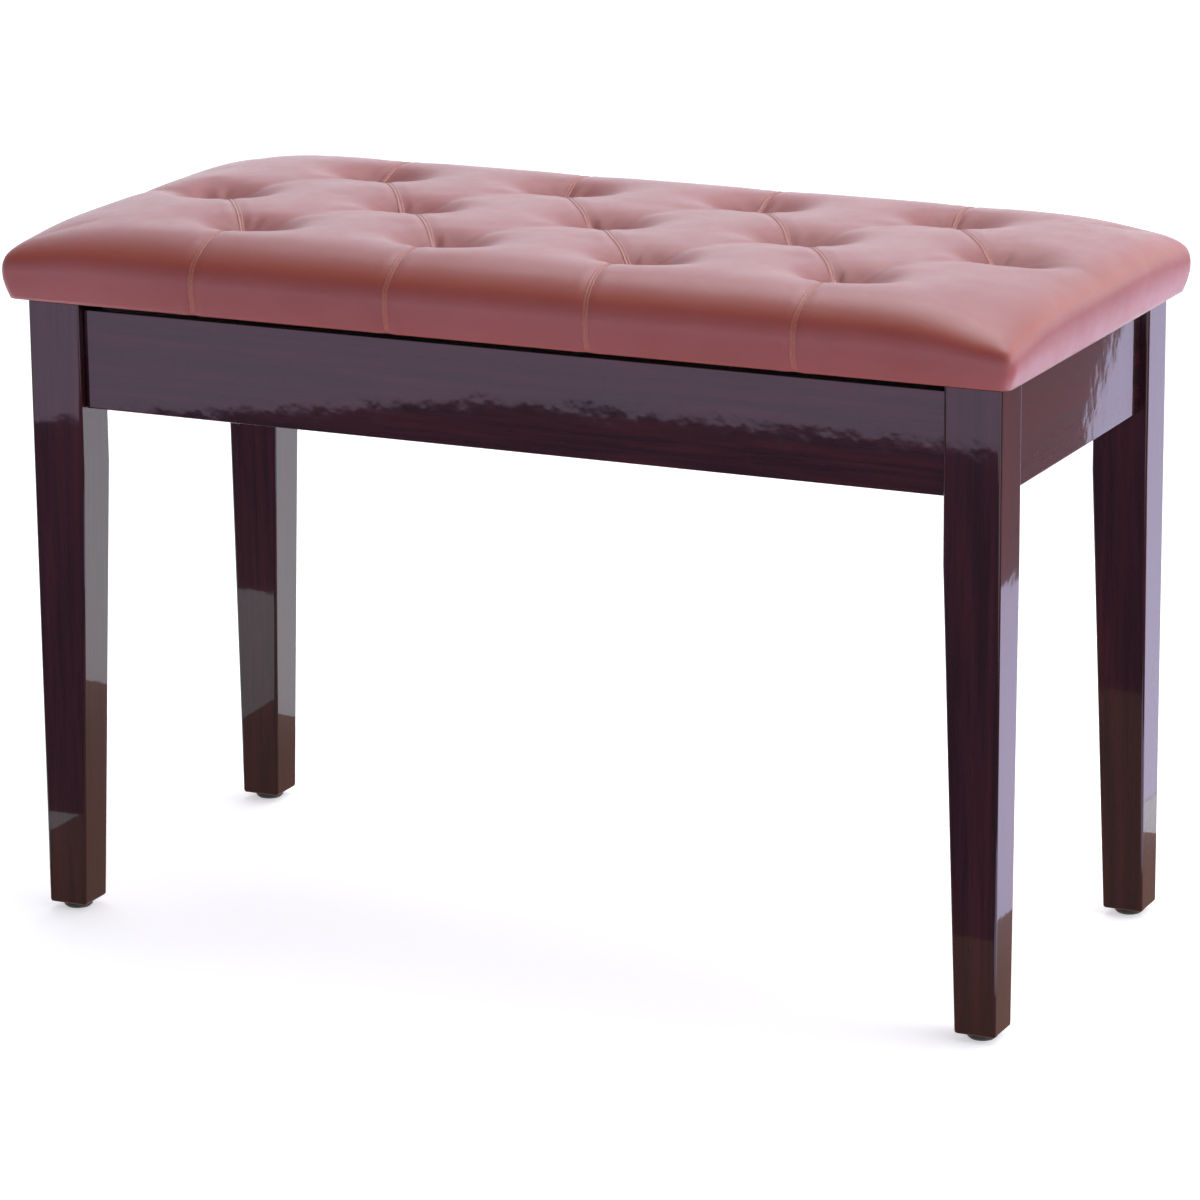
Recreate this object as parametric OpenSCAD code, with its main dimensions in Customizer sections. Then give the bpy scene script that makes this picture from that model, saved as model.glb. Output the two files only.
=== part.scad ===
// Padded duet piano bench with a music compartment.
// A tufted seat lid is hinged to the rear apron and is held open by two slotted stays.
// Origin: centre of the footprint on the floor. +X runs along the bench, +Y to the rear, +Z up.

/* [Legs] */
// Outer width across the legs
legs_w = 738; // [560:1:960]
// Outer depth across the legs
legs_d = 324; // [290:1:460]
// Length of a wooden leg, from its glide to its top
leg_len = 450; // [330:1:620]
// Width of a leg at the top, along the bench
leg_top_x = 41; // [34:0.5:56]
// Depth of a leg at the top, front to back
leg_top_y = 38; // [34:0.5:56]
// Width of a leg at the foot, along the bench
leg_foot_x = 30; // [24:0.5:34]
// Depth of a leg at the foot, front to back
leg_foot_y = 31; // [24:0.5:34]
// Straight length of a leg below the aprons, before its taper starts
taper_drop = 45; // [10:1:120]
// Diameter of a glide
glide_d = 21; // [14:0.5:24]
// Height of a glide
glide_h = 5; // [3:0.5:10]

/* [Aprons] */
// Height of the aprons
apron_h = 72; // [66:1:110]
// Thickness of the aprons
apron_t = 18; // [15:0.5:24]
// Setback of the front and rear aprons from the legs' faces
apron_setback_y = 7; // [2:0.5:10]
// Setback of the end aprons from the legs' faces
apron_setback_x = 6; // [2:0.5:10]
// Gap between the aprons' top edges and the closed lid
lid_gap = 7; // [6.5:0.5:12]
// Thickness of the felt pads on the legs' tops
felt_t = 1; // [0.5:0.5:3]

/* [Compartment floor] */
// Thickness of the bottom panel
floor_t = 5; // [3:0.5:9]
// Height of the bottom panel above the aprons' lower edges
floor_lift = 6; // [4:0.5:12]
// Depth of the grooves that hold the bottom panel
groove_depth = 7; // [4:0.5:9]
// Gap at the bottom of each groove
groove_play = 1; // [0.5:0.5:2]

/* [Seat lid] */
// Overhang of the lid's lower edge past the legs at the ends
overhang_x = 9.5; // [6:0.5:30]
// Overhang of the lid's lower edge past the legs at front and rear
overhang_y = 13; // [11:0.5:30]
// Height of the padded edge
edge_h = 45; // [38:1:80]
// Extra height of the crowned top
crown_h = 14; // [2:0.5:20]
// Thickness of the seat board
board_t = 12; // [9:0.5:20]
// Thickness of the cover
cover_t = 1.2; // [0.8:0.1:2.5]
// Width of the cover's margin under the board
margin_w = 30; // [22:1:45]
// Thickness of the dust cover
dust_t = 0.6; // [0.4:0.1:1.2]
// Radius of the padded corners, seen from above
corner_r = 8; // [8:1:40]
// Bulge of the padded edge past its lower edge
edge_bulge = 4; // [1:0.5:8]
// Rounding of the padded top edge
top_round = 15; // [10:1:26]

/* [Tufts] */
// Number of tufts in the front row and in the rear row
tufts_outer = 4; // [3:1:6]
// Distance between two rows of tufts
row_gap = 100; // [70:1:110]
// Depth of a tuft's funnel
tuft_depth = 24; // [12:1:30]
// Radius of a tuft's funnel at the top
tuft_mouth_r = 11; // [7:0.5:18]
// Radius of a tuft's funnel at the bottom
tuft_floor_r = 3; // [2:0.5:5]
// Diameter of a tufting twine
twine_d = 1.6; // [1:0.1:3]
// Diameter of a twine's anchor disc
anchor_d = 16; // [10:1:24]

/* [Hinges] */
// Distance of a hinge's middle from the bench's middle
hinge_x = 230; // [120:1:260]
// Length of a hinge along its pin
hinge_l = 50; // [40:1:90]
// Depth of a hinge leaf from the pin
hinge_leaf = 27; // [24:0.5:32]
// Thickness of a hinge leaf
leaf_t = 1.5; // [1.2:0.1:2]
// Gap between the knuckles and the lid or the apron
knuckle_gap = 0.5; // [0.3:0.1:0.8]
// Diameter of the hinge pin
hinge_pin_d = 2.6; // [2:0.1:3]
// Distance of the pin behind the legs' rear faces
hinge_back = 4; // [3:0.5:5]
// How far the lid opens, in degrees
lid_open = 95; // [80:1:100]

/* [Lid stays] */
// Gap between the rear apron and the eye of the arm
eye_gap = 3; // [2:0.5:5]
// Radius of the arm's eye
pivot_eye_r = 8; // [6:0.5:9]
// Depth of the arm's pivot below the hinge pin
pivot_drop = 22; // [20:0.5:24]
// Distance of the stud in front of the hinge pin
stud_fore = 208; // [200:0.5:216]
// Depth of the stud below the hinge pin
stud_drop = 41; // [38:0.5:43]
// Turn of the arm against the lid, for each degree that the lid opens
stay_ratio = -1.28; // [-1.3:0.005:-1.26]
// Width of the arm along its slot
arm_w = 15; // [13:0.5:17]
// Thickness of the arm and of its bracket
arm_t = 2; // [1.5:0.1:3]
// Diameter of the stud in the slot
stud_d = 5; // [4:0.1:6]
// Clearance between the stud and each side of the slot
slot_play = 0.35; // [0.25:0.05:0.6]
// Distance of the stud's block past the legs' inner faces
block_reach = 2; // [1:0.5:5]

/* [Corner fastenings] */
// Height of a corner plate
plate_h = 28; // [24:1:34]
// Thickness of a corner plate
plate_t = 2; // [1.5:0.1:3]
// Gap between a leg's inner edge and its corner plate
plate_gap = 10; // [6:0.5:16]
// Diameter of a hanger bolt
bolt_d = 6; // [5:0.1:8]
// Running clearance of pins and bolts in their holes, on the radius
play = 0.06; // [0.03:0.01:0.1]

/* [Hidden] */
$fn = 48;
tiny = 0.01;
// Screws, all of one size but for their length.
screw_r = 1.6;                             // shank radius
screw_head_r = 3.2;
screw_point_l = 3;
corner_screw_l = 14;
hinge_screw_l = 13;
block_screw_l = 28;
bracket_screw_l = 12;
// Heights of the frame.
leg_top_z = glide_h + leg_len;
lid_z = leg_top_z + felt_t;                // underside of the closed lid
apron_top_z = lid_z - lid_gap;
apron_z = apron_top_z - apron_h;           // lower edge of the aprons
floor_z = apron_z + floor_lift;
floor_top_z = floor_z + floor_t;
// Faces of the frame.
front_y = legs_d / 2 - apron_setback_y;    // outer face of the front and rear aprons
end_x = legs_w / 2 - apron_setback_x;      // outer face of the end aprons
inside_y = front_y - apron_t;
inside_x = end_x - apron_t;
leg_in_x = legs_w / 2 - leg_top_x;         // inner faces of the legs
leg_in_y = legs_d / 2 - leg_top_y;
groove_gap = groove_depth - groove_play;   // reach of the bottom panel into its grooves
// Glides and felt pads.
glide_lip = 1.5;                           // bevel round a glide's foot
nail_l = 18;                               // length of a glide's nail inside its leg
nail_r = 1.2;
nail_z = 1.2;                              // height of the nail's head over the floor
felt_r = 8;
// Corner plates and hanger bolts.
plate_lift = 1.5;                          // gap between a plate and the bottom panel
plate_z = floor_top_z + plate_lift;
plate_mid_z = plate_z + plate_h / 2;
bolt_sum = leg_in_x + leg_in_y - plate_gap * sqrt(2);   // x + y on the plate's outer face
web_x = bolt_sum - inside_y;               // where the web's outer face meets the long apron
web_y = bolt_sum - inside_x;               // where the web's outer face meets the end apron
flange = 20;                               // length of a plate's flange along an apron
plate_screw_lift = 7;                      // screws above and below the bolt's height
bolt_in = 26;                              // length of a hanger bolt inside its leg
bolt_out = 14;                             // length of a hanger bolt past its plate
washer_t = 1.2;
washer_r = 8;
nut_h = 6;
// Seat lid.
seat_w = legs_w + 2 * overhang_x;
seat_d = legs_d + 2 * overhang_y;
board_w = seat_w - 2 * cover_t;
board_d = seat_d - 2 * cover_t;
board_z = lid_z + dust_t + cover_t;
foam_z = board_z + board_t;
foam_gap = 0.05;                           // gap between the foam and its cover
seat_top_z = lid_z + edge_h + crown_h;
tuft_z = seat_top_z - tuft_depth;
dust_margin = 8;                           // margin of the board around the dust cover
anchor_t = 1;
// Tufts: the outer rows are centred on equal panels, the middle row lies between them.
panel_w = seat_w / (tufts_outer + 1);
TUFTS = concat(
    [for (side = [-1, 1], i = [0 : tufts_outer - 1])
        [(i - (tufts_outer - 1) / 2) * panel_w, side * row_gap]],
    [for (i = [0 : tufts_outer]) [(i - tufts_outer / 2) * panel_w, 0]]);
// Hinges.
pin_y = legs_d / 2 + hinge_back;
pin_z = lid_z - lid_gap / 2;
knuckle_d = lid_gap - 2 * knuckle_gap;
knuckle_l = hinge_l / 5;
knuckle_run = 0.15;                        // gap beside each knuckle
knuckle_room_t = 0.3;                      // gap around each knuckle, in the other leaf
pin_head_t = 0.8;
hinge_screw_y = pin_y - hinge_leaf + 8;
hinge_screw_side = hinge_l / 2 - 9;
// Stay: the arm lies in an upright plane just inside the legs' inner faces.
stay_run = 0.3;                            // side clearance of the arm
collar_t = 1;
block_x = leg_in_x - block_reach;          // face of the stud's block
arm_x = block_x - collar_t - stay_run;     // outer face of the arm
bracket_x = arm_x - arm_t - stay_run;      // outer face of the bracket
apron_fore = pin_y - inside_y;             // rear apron's inner face, in front of the pin
pivot_fore = apron_fore + eye_gap + pivot_eye_r;
stud_y = pin_y - stud_fore;
stud_z = pin_z - stud_drop;
pivot_y = pin_y - pivot_fore;
pivot_z = pin_z - pivot_drop;
rivet_d = 5;
rivet_head_t = 1.2;
stud_in = 14;                              // length of the stud inside its block
stud_head_r = 5.5;
stud_head_t = 1.5;
// The stud's block ends clear of the front corner plate; its screws keep clear of the stud.
block_l = 48;
block_h = 26;
block_front_y = max(stud_y - block_l / 2, 2 - (web_y - flange));
block_screw_end = 7;                       // distance of a screw from the block's end
block_screw_ys = [min(block_front_y + block_screw_end, stud_y - stud_head_r - screw_head_r - 0.3),
                  block_front_y + block_l - block_screw_end];
bracket_flange = 20;
bracket_rear = pivot_eye_r + 1;            // reach of the bracket behind and in front of the pivot
bracket_fore = bracket_rear + 12;
bracket_skirt = 8;                         // depth of the bracket's straight edge
bracket_screw_end = 6;

// ---------- shared shapes ----------

// Places its child, drawn for the right end, at both ends.
module both_ends() {
    children();
    mirror([1, 0, 0]) children();
}

// Places its child, drawn for the rear right corner, at one corner: side_x and side_y are -1 or 1.
module at_corner(side_x, side_y) {
    mirror([side_x < 0 ? 1 : 0, 0, 0]) mirror([0, side_y < 0 ? 1 : 0, 0]) children();
}

module at_all_corners() {
    for (side_x = [-1, 1], side_y = [-1, 1]) at_corner(side_x, side_y) children();
}

// Wood screw along -Z with the top of its countersunk head at the origin.
module screw(length) {
    head_t = screw_head_r - screw_r;
    shank_l = length - screw_point_l - head_t;
    difference() {
        union() {
            translate([0, 0, -head_t]) cylinder(h = head_t, r1 = screw_r, r2 = screw_head_r);
            translate([0, 0, screw_point_l - length]) cylinder(h = shank_l + tiny, r = screw_r);
            translate([0, 0, -length]) cylinder(h = screw_point_l + tiny, r1 = 0.3, r2 = screw_r);
        }
        for (turn = [0, 90]) rotate(turn) translate([-2, -0.35, -0.9]) cube([4, 0.7, 2]);
    }
}

// Space that a screw takes out of what it passes through.
module screw_hole(length) {
    head_t = screw_head_r - screw_r;
    translate([0, 0, -head_t]) cylinder(h = head_t, r1 = screw_r + tiny, r2 = screw_head_r + tiny);
    translate([0, 0, -tiny]) cylinder(h = 3, r = screw_head_r + tiny);
    translate([0, 0, -length - tiny]) cylinder(h = length, r = screw_r + tiny);
}

// Flat outline with round corners.
module rounded_rect(w, d, r) {
    square([w - 2 * r, d], center = true);
    square([w, d - 2 * r], center = true);
    for (x = [-1, 1], y = [-1, 1]) translate([x * (w / 2 - r), y * (d / 2 - r)]) circle(r = r);
}

// ---------- legs and glides ----------

// One leg: two outer faces upright, two inner faces tapered towards the foot.
module leg_blank() {
    taper_z = apron_z - taper_drop;
    x0 = legs_w / 2;
    y0 = legs_d / 2;
    intersection() {
        translate([0, y0 + 1, 0]) rotate([90, 0, 0]) linear_extrude(leg_top_y + 2)
            polygon([[x0, glide_h], [x0, leg_top_z], [x0 - leg_top_x, leg_top_z],
                     [x0 - leg_top_x, taper_z], [x0 - leg_foot_x, glide_h]]);
        translate([x0 - leg_top_x - 1, 0, 0]) rotate([90, 0, 90]) linear_extrude(leg_top_x + 2)
            polygon([[y0, glide_h], [y0, leg_top_z], [y0 - leg_top_y, leg_top_z],
                     [y0 - leg_top_y, taper_z], [y0 - leg_foot_y, glide_h]]);
    }
}

module glide_place() {
    translate([legs_w / 2 - leg_foot_x / 2, legs_d / 2 - leg_foot_y / 2, 0]) children();
}

module leg(side_x, side_y) {
    color("#2b1216") at_corner(side_x, side_y) difference() {
        leg_blank();
        glide_place() translate([0, 0, glide_h - tiny]) cylinder(h = nail_l, r = nail_r + tiny);
        bolt_line() cylinder(h = bolt_in + tiny, r = bolt_d / 2 + tiny);
    }
}

module glide(side_x, side_y) {
    foot_r = glide_d / 2 - glide_lip;
    color("#141414") at_corner(side_x, side_y) glide_place() difference() {
        union() {
            cylinder(h = glide_lip + tiny, r1 = foot_r, r2 = glide_d / 2);
            translate([0, 0, glide_lip]) cylinder(h = glide_h - glide_lip, r = glide_d / 2);
        }
        translate([0, 0, nail_z]) cylinder(h = glide_h, r = nail_r + tiny);
    }
}

module glide_nails() {
    color("#8a8d90") at_all_corners() glide_place()
        translate([0, 0, nail_z]) cylinder(h = glide_h + nail_l - nail_z - tiny, r = nail_r);
}

// ---------- aprons and compartment floor ----------

// Board along X with a groove in its inner face for the bottom panel.
module long_apron(side_y) {
    length = 2 * leg_in_x;
    mirror([0, side_y < 0 ? 1 : 0, 0]) difference() {
        translate([-length / 2, inside_y, apron_z]) cube([length, apron_t, apron_h]);
        translate([-length / 2 - 1, inside_y - 1, floor_z]) cube([length + 2, groove_depth + 1, floor_t]);
        corner_screw_places() screw_hole(corner_screw_l);
        mirror([1, 0, 0]) corner_screw_places() screw_hole(corner_screw_l);
    }
}

module front_apron() {
    color("#2b1216") long_apron(-1);
}

module rear_apron() {
    color("#2b1216") difference() {
        long_apron(1);
        hinge_frame_screw_places() screw_hole(hinge_screw_l);
    }
}

module end_apron() {
    length = 2 * leg_in_y;
    difference() {
        translate([inside_x, -length / 2, apron_z]) cube([apron_t, length, apron_h]);
        translate([inside_x - 1, -length / 2 - 1, floor_z]) cube([groove_depth + 1, length + 2, floor_t]);
        for (side_y = [-1, 1]) mirror([0, side_y < 0 ? 1 : 0, 0])
            corner_screw_places() screw_hole(corner_screw_l);
        stay_block_screw_places() screw_hole(block_screw_l);
    }
}

module left_apron() {
    color("#2b1216") mirror([1, 0, 0]) end_apron();
}

module right_apron() {
    color("#2b1216") end_apron();
}

module bottom_panel() {
    half_x = inside_x + groove_gap;
    half_y = inside_y + groove_gap;
    color("#6d4a33") difference() {
        translate([-half_x, -half_y, floor_z]) cube([2 * half_x, 2 * half_y, floor_t]);
        at_all_corners() translate([leg_in_x - 0.5, leg_in_y - 0.5, floor_z - 1])
            cube([leg_top_x, leg_top_y, floor_t + 2]);
    }
}

module felt_pads() {
    color("#3a3a3a") at_all_corners()
        translate([legs_w / 2 - leg_top_x / 2, legs_d / 2 - leg_top_y / 2, leg_top_z])
            cylinder(h = felt_t, r = felt_r);
}

// ---------- corner plates and leg bolts ----------

// Z axis of the child points from the plate's outer face into the leg, along the bolt.
module bolt_line() {
    mid = [leg_in_x - plate_gap / sqrt(2), leg_in_y - plate_gap / sqrt(2), plate_mid_z];
    translate(mid) rotate([0, 90, 45]) translate([0, 0, plate_gap]) children();
}

// Outline of a bent plate seen from above: a flange on each apron and a web across the corner.
module plate_outline() {
    bend = plate_t * tan(22.5);
    polygon([[inside_x, web_y - flange], [inside_x, web_y], [web_x, inside_y], [web_x - flange, inside_y],
             [web_x - flange, inside_y - plate_t], [web_x - bend, inside_y - plate_t],
             [inside_x - plate_t, web_y - bend], [inside_x - plate_t, web_y - flange]]);
}

module corner_plate(side_x, side_y) {
    color("#b9bcc0") at_corner(side_x, side_y) difference() {
        translate([0, 0, plate_z]) linear_extrude(plate_h) plate_outline();
        bolt_line() translate([0, 0, -plate_gap - 20]) cylinder(h = 40, r = bolt_d / 2 + play);
        corner_screw_places() screw_hole(corner_screw_l);
    }
}

// Two screws in each flange of a corner plate.
module corner_screw_places() {
    along = flange / 2 + 1;
    for (side = [-1, 1]) {
        z = plate_mid_z + side * plate_screw_lift;
        translate([inside_x - plate_t, web_y - along, z]) rotate([0, -90, 0]) children();
        translate([web_x - along, inside_y - plate_t, z]) rotate([90, 0, 0]) children();
    }
}

module corner_screws() {
    color("#c9b26a") at_all_corners() corner_screw_places() screw(corner_screw_l);
}

module hanger_bolts() {
    length = bolt_in + plate_gap + plate_t + bolt_out;
    color("#9a9da1") at_all_corners() bolt_line()
        translate([0, 0, bolt_in - length]) cylinder(h = length, r = bolt_d / 2);
}

module bolt_washers() {
    color("#c4c7ca") at_all_corners() bolt_line() translate([0, 0, -plate_gap - plate_t - washer_t])
        difference() {
            cylinder(h = washer_t, r = washer_r);
            translate([0, 0, -1]) cylinder(h = washer_t + 2, r = bolt_d / 2 + play);
        }
}

// Wing nut: a conical hub and two flat wings with round ends.
module wing_nuts() {
    color("#c4c7ca") at_all_corners() bolt_line()
        translate([0, 0, -plate_gap - plate_t - washer_t]) rotate([180, 0, 0]) difference() {
            union() {
                cylinder(h = nut_h, r1 = 6, r2 = 4.8);
                for (side = [-1, 1]) translate([0, 1, 0]) rotate([90, 0, 0]) linear_extrude(2) {
                    translate([side * 10, 8]) circle(r = 3.6);
                    polygon([[side * 3.5, 0.4], [side * 3.5, 5.4], [side * 8.4, 11.2], [side * 12.2, 5.2]]);
                }
            }
            translate([0, 0, -1]) cylinder(h = nut_h + 2, r = bolt_d / 2 + play);
        }
}

// ---------- hinges ----------

// Knuckles numbered 0 to 4 along the pin.
module knuckles(first) {
    for (i = [first : 2 : 4])
        translate([hinge_x - hinge_l / 2 + i * knuckle_l + knuckle_run, pin_y, pin_z]) rotate([0, 90, 0])
            cylinder(h = knuckle_l - 2 * knuckle_run, r = knuckle_d / 2);
}

// Room for the other leaf's knuckles.
module knuckle_room(first) {
    for (i = [first : 2 : 4])
        translate([hinge_x - hinge_l / 2 + i * knuckle_l - knuckle_run, pin_y, pin_z]) rotate([0, 90, 0])
            cylinder(h = knuckle_l + 2 * knuckle_run, r = knuckle_d / 2 + knuckle_room_t);
}

module pin_bore() {
    translate([hinge_x - hinge_l / 2 - 1, pin_y, pin_z]) rotate([0, 90, 0])
        cylinder(h = hinge_l + 2, r = hinge_pin_d / 2 + play);
}

module hinge_frame_leaf() {
    difference() {
        union() {
            knuckles(0);
            translate([hinge_x - hinge_l / 2 + knuckle_run, pin_y - hinge_leaf, apron_top_z])
                cube([hinge_l - 2 * knuckle_run, hinge_leaf, leaf_t]);
        }
        knuckle_room(1);
        pin_bore();
        one_frame_screws() screw_hole(hinge_screw_l);
    }
}

module hinge_lid_leaf() {
    difference() {
        union() {
            knuckles(1);
            translate([hinge_x - hinge_l / 2 + knuckle_run, pin_y - hinge_leaf, lid_z - leaf_t])
                cube([hinge_l - 2 * knuckle_run, hinge_leaf, leaf_t]);
        }
        knuckle_room(0);
        pin_bore();
        one_lid_screws() screw_hole(hinge_screw_l);
    }
}

// Pin with a flush head at each end; it is pressed into the frame leaf's outer knuckles.
module hinge_pin() {
    translate([hinge_x - hinge_l / 2, pin_y, pin_z]) rotate([0, 90, 0]) {
        cylinder(h = hinge_l, r = hinge_pin_d / 2);
        for (z = [knuckle_run - pin_head_t, hinge_l - knuckle_run]) translate([0, 0, z])
            cylinder(h = pin_head_t, r = knuckle_d / 2 - 0.4);
    }
}

module one_frame_screws() {
    for (side = [-1, 1]) translate([hinge_x + side * hinge_screw_side, hinge_screw_y, apron_top_z + leaf_t])
        children();
}

module one_lid_screws() {
    for (side = [-1, 1]) translate([hinge_x + side * hinge_screw_side, hinge_screw_y, lid_z - leaf_t])
        rotate([180, 0, 0]) children();
}

module hinge_frame_screw_places() {
    both_ends() one_frame_screws() children();
}

module hinge_lid_screw_places() {
    both_ends() one_lid_screws() children();
}

module hinge_frame_screws() {
    color("#c9b26a") hinge_frame_screw_places() screw(hinge_screw_l);
}

module hinge_lid_screws() {
    color("#c9b26a") hinge_lid_screw_places() screw(hinge_screw_l);
}

// ---------- lid stays ----------

// Point turned by an angle about the hinge pin, as [distance in front, height].
function turned(p, a) = [p[0] * cos(a) - p[1] * sin(a), p[0] * sin(a) + p[1] * cos(a)];

// Where the stud lies in the arm's own frame when the lid is open by an angle.
function slot_point(a) =
    let (pivot = [pivot_fore, -pivot_drop], stud = [stud_fore, -stud_drop])
    pivot + turned(stud - turned(pivot, a), -(1 + stay_ratio) * a);

// Heading of the slot's centre line at an angle of the lid, in degrees.
function slot_heading(a) =
    let (d = slot_point(a + 1) - slot_point(a - 1)) atan2(d[1], d[0]);

// Point at a distance and a bearing from another point.
function away(from, distance, bearing) = from + distance * [cos(bearing), sin(bearing)];

// Points of an arc, without its two ends.
function arc(centre, r, bearing, sweep, steps = 14) =
    [for (i = [1 : steps - 1]) away(centre, r, bearing + sweep * i / steps)];

// The stud first slides back a little along the slot; at this angle it turns round.
turn_angle = let (fore = [for (a = [0 : lid_open]) slot_point(a)[0]]) search(min(fore), fore)[0];

// The slot's centre line from its turning point to the open end, as [point, heading] pairs.
SLOT_LINE = let (steps = 16, start = turn_angle + 10) concat(
    [[slot_point(turn_angle), slot_heading(start)]],
    [for (i = [0 : steps]) let (a = start + (lid_open - start) * i / steps)
        [slot_point(a), slot_heading(a)]]);

// Both sides of a band around the slot's line and its round far end, from the near right side
// round to the near left side.
function band(half_w) =
    let (last = len(SLOT_LINE) - 1, tip = SLOT_LINE[last])
    concat([for (i = [0 : last]) away(SLOT_LINE[i][0], half_w, SLOT_LINE[i][1] - 90)],
           arc(tip[0], half_w, tip[1] - 90, 180),
           [for (i = [last : -1 : 0]) away(SLOT_LINE[i][0], half_w, SLOT_LINE[i][1] + 90)]);

// The arm's outline: an eye around the pivot, a straight bar, and a head around the slot.
module arm_outline() {
    pivot = [pivot_fore, -pivot_drop];
    along = SLOT_LINE[0][0] - pivot;
    bearing = atan2(along[1], along[0]);
    polygon(concat(band(arm_w / 2), [away(pivot, pivot_eye_r, bearing + 90)],
                   arc(pivot, pivot_eye_r, bearing + 90, 180),
                   [away(pivot, pivot_eye_r, bearing + 270)]));
}

// The slot, with room for the stud's first slide back.
module slot_outline() {
    half_w = stud_d / 2 + slot_play;
    polygon(concat(band(half_w), arc(SLOT_LINE[0][0], half_w, SLOT_LINE[0][1] + 90, 180)));
}

// Stands an outline drawn as [distance in front of the pin, height over the pin] up in its plane.
module stand_up(outer_x, thickness) {
    translate([outer_x - thickness, pin_y, pin_z]) rotate([90, 0, -90]) mirror([0, 0, 1])
        linear_extrude(thickness) children();
}

module stay_arm() {
    cut_t = arm_t + 2;
    difference() {
        stand_up(arm_x, arm_t) arm_outline();
        stand_up(arm_x + 1, cut_t) slot_outline();
        stand_up(arm_x + 1, cut_t) translate(slot_point(0)) circle(r = stud_d / 2 + slot_play);
        stand_up(arm_x + 1, cut_t) translate([pivot_fore, -pivot_drop]) circle(r = rivet_d / 2 + play);
    }
}

// Hardwood block that brings the stud inside the legs.
module stay_block() {
    difference() {
        translate([block_x, block_front_y, stud_z - block_h / 2])
            cube([inside_x - block_x, block_l, block_h]);
        stud_line() cylinder(h = stud_in + tiny, r = stud_d / 2 - 0.5 + tiny);
        stay_block_screw_places() screw_hole(block_screw_l);
    }
}

// Z axis of the child points along +X, into the block, from the block's face.
module stud_line() {
    translate([block_x, stud_y, stud_z]) rotate([0, 90, 0]) children();
}

// Shouldered stud: a collar on the block, a shank in the slot and a flat head.
module stay_stud() {
    reach = collar_t + arm_t + 2 * stay_run;
    stud_line() {
        cylinder(h = stud_in, r = stud_d / 2 - 0.5);
        translate([0, 0, -collar_t]) cylinder(h = collar_t, r = stud_head_r);
        translate([0, 0, -reach]) cylinder(h = reach, r = stud_d / 2);
        translate([0, 0, -reach - stud_head_t]) cylinder(h = stud_head_t, r = stud_head_r);
    }
}

module stay_block_screw_places() {
    for (y = block_screw_ys) translate([block_x, y, stud_z]) rotate([0, -90, 0]) children();
}

module stay_block_screws() {
    color("#c9b26a") both_ends() stay_block_screw_places() screw(block_screw_l);
}

// L-shaped bracket under the lid, with an eye for the arm's rivet.
module stay_bracket() {
    drop = lid_z - pin_z;
    skirt = drop - bracket_skirt;
    difference() {
        union() {
            stand_up(bracket_x, arm_t) {
                translate([pivot_fore, -pivot_drop]) circle(r = pivot_eye_r);
                polygon([[pivot_fore - bracket_rear, drop], [pivot_fore + bracket_fore, drop],
                         [pivot_fore + bracket_fore, skirt], [pivot_fore + pivot_eye_r, -pivot_drop],
                         [pivot_fore - pivot_eye_r, -pivot_drop], [pivot_fore - bracket_rear, skirt]]);
            }
            translate([bracket_x - bracket_flange, pivot_y - bracket_fore, lid_z - arm_t])
                cube([bracket_flange, bracket_rear + bracket_fore, arm_t]);
        }
        translate([bracket_x - arm_t - 1, pivot_y, pivot_z]) rotate([0, 90, 0])
            cylinder(h = arm_t + 2, r = rivet_d / 2 - 0.5 + tiny);
        one_bracket_screws() screw_hole(bracket_screw_l);
    }
}

// Rivet fixed in the bracket; the arm turns on its larger shank.
module stay_rivet() {
    translate([bracket_x - arm_t, pivot_y, pivot_z]) rotate([0, 90, 0]) {
        cylinder(h = arm_t + tiny, r = rivet_d / 2 - 0.5);
        translate([0, 0, -rivet_head_t]) cylinder(h = rivet_head_t, r = 4.2);
        translate([0, 0, arm_t]) cylinder(h = arm_t + 2 * stay_run, r = rivet_d / 2);
        translate([0, 0, 2 * arm_t + 2 * stay_run]) cylinder(h = rivet_head_t, r = 4.5);
    }
}

module one_bracket_screws() {
    for (fore = [bracket_screw_end - bracket_rear, bracket_fore - bracket_screw_end])
        translate([bracket_x - bracket_flange / 2 - arm_t / 2, pivot_y - fore, lid_z - arm_t])
            rotate([180, 0, 0]) children();
}

module stay_bracket_screws() {
    color("#c9b26a") both_ends() one_bracket_screws() screw(bracket_screw_l);
}

// ---------- seat lid ----------

// Space of the padded seat, drawn in by inset on every side; floor_z0 is where it starts.
module pillow(inset, floor_z0) {
    knee = edge_h - top_round;
    // side of the edge, from the lower edge to where the top rounding starts
    side = [for (i = [0 : 4]) [edge_bulge * sin(i * 30), knee * i / 4]];
    bulge_top = edge_bulge * sin(120);
    crest = [for (a = [15 : 15 : 90]) [bulge_top - top_round * (1 - cos(a)), knee + top_round * sin(a)]];
    // crowned top, as an ellipse arc from the rounding to the middle
    crown_in = seat_d * 0.42;
    crown = [for (a = [15 : 15 : 90])
        [bulge_top - top_round - crown_in * (1 - cos(a)), edge_h + crown_h * sin(a)]];
    // only the rings that lie clear of the floor, once they are drawn in
    rings = concat([for (p = side) if (lid_z + p[1] - inset > floor_z0 + 0.5) p], crest, crown);
    hull() {
        translate([0, 0, floor_z0]) linear_extrude(tiny)
            rounded_rect(seat_w - 2 * inset, seat_d - 2 * inset, corner_r - inset, $fn = 24);
        for (p = rings)
            translate([0, 0, lid_z + p[1] - inset - tiny]) linear_extrude(tiny)
                rounded_rect(seat_w + 2 * p[0] - 2 * inset, seat_d + 2 * p[0] - 2 * inset,
                             max(corner_r - inset + min(p[0], 0) * 0.2, 3), $fn = 24);
    }
}

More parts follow.
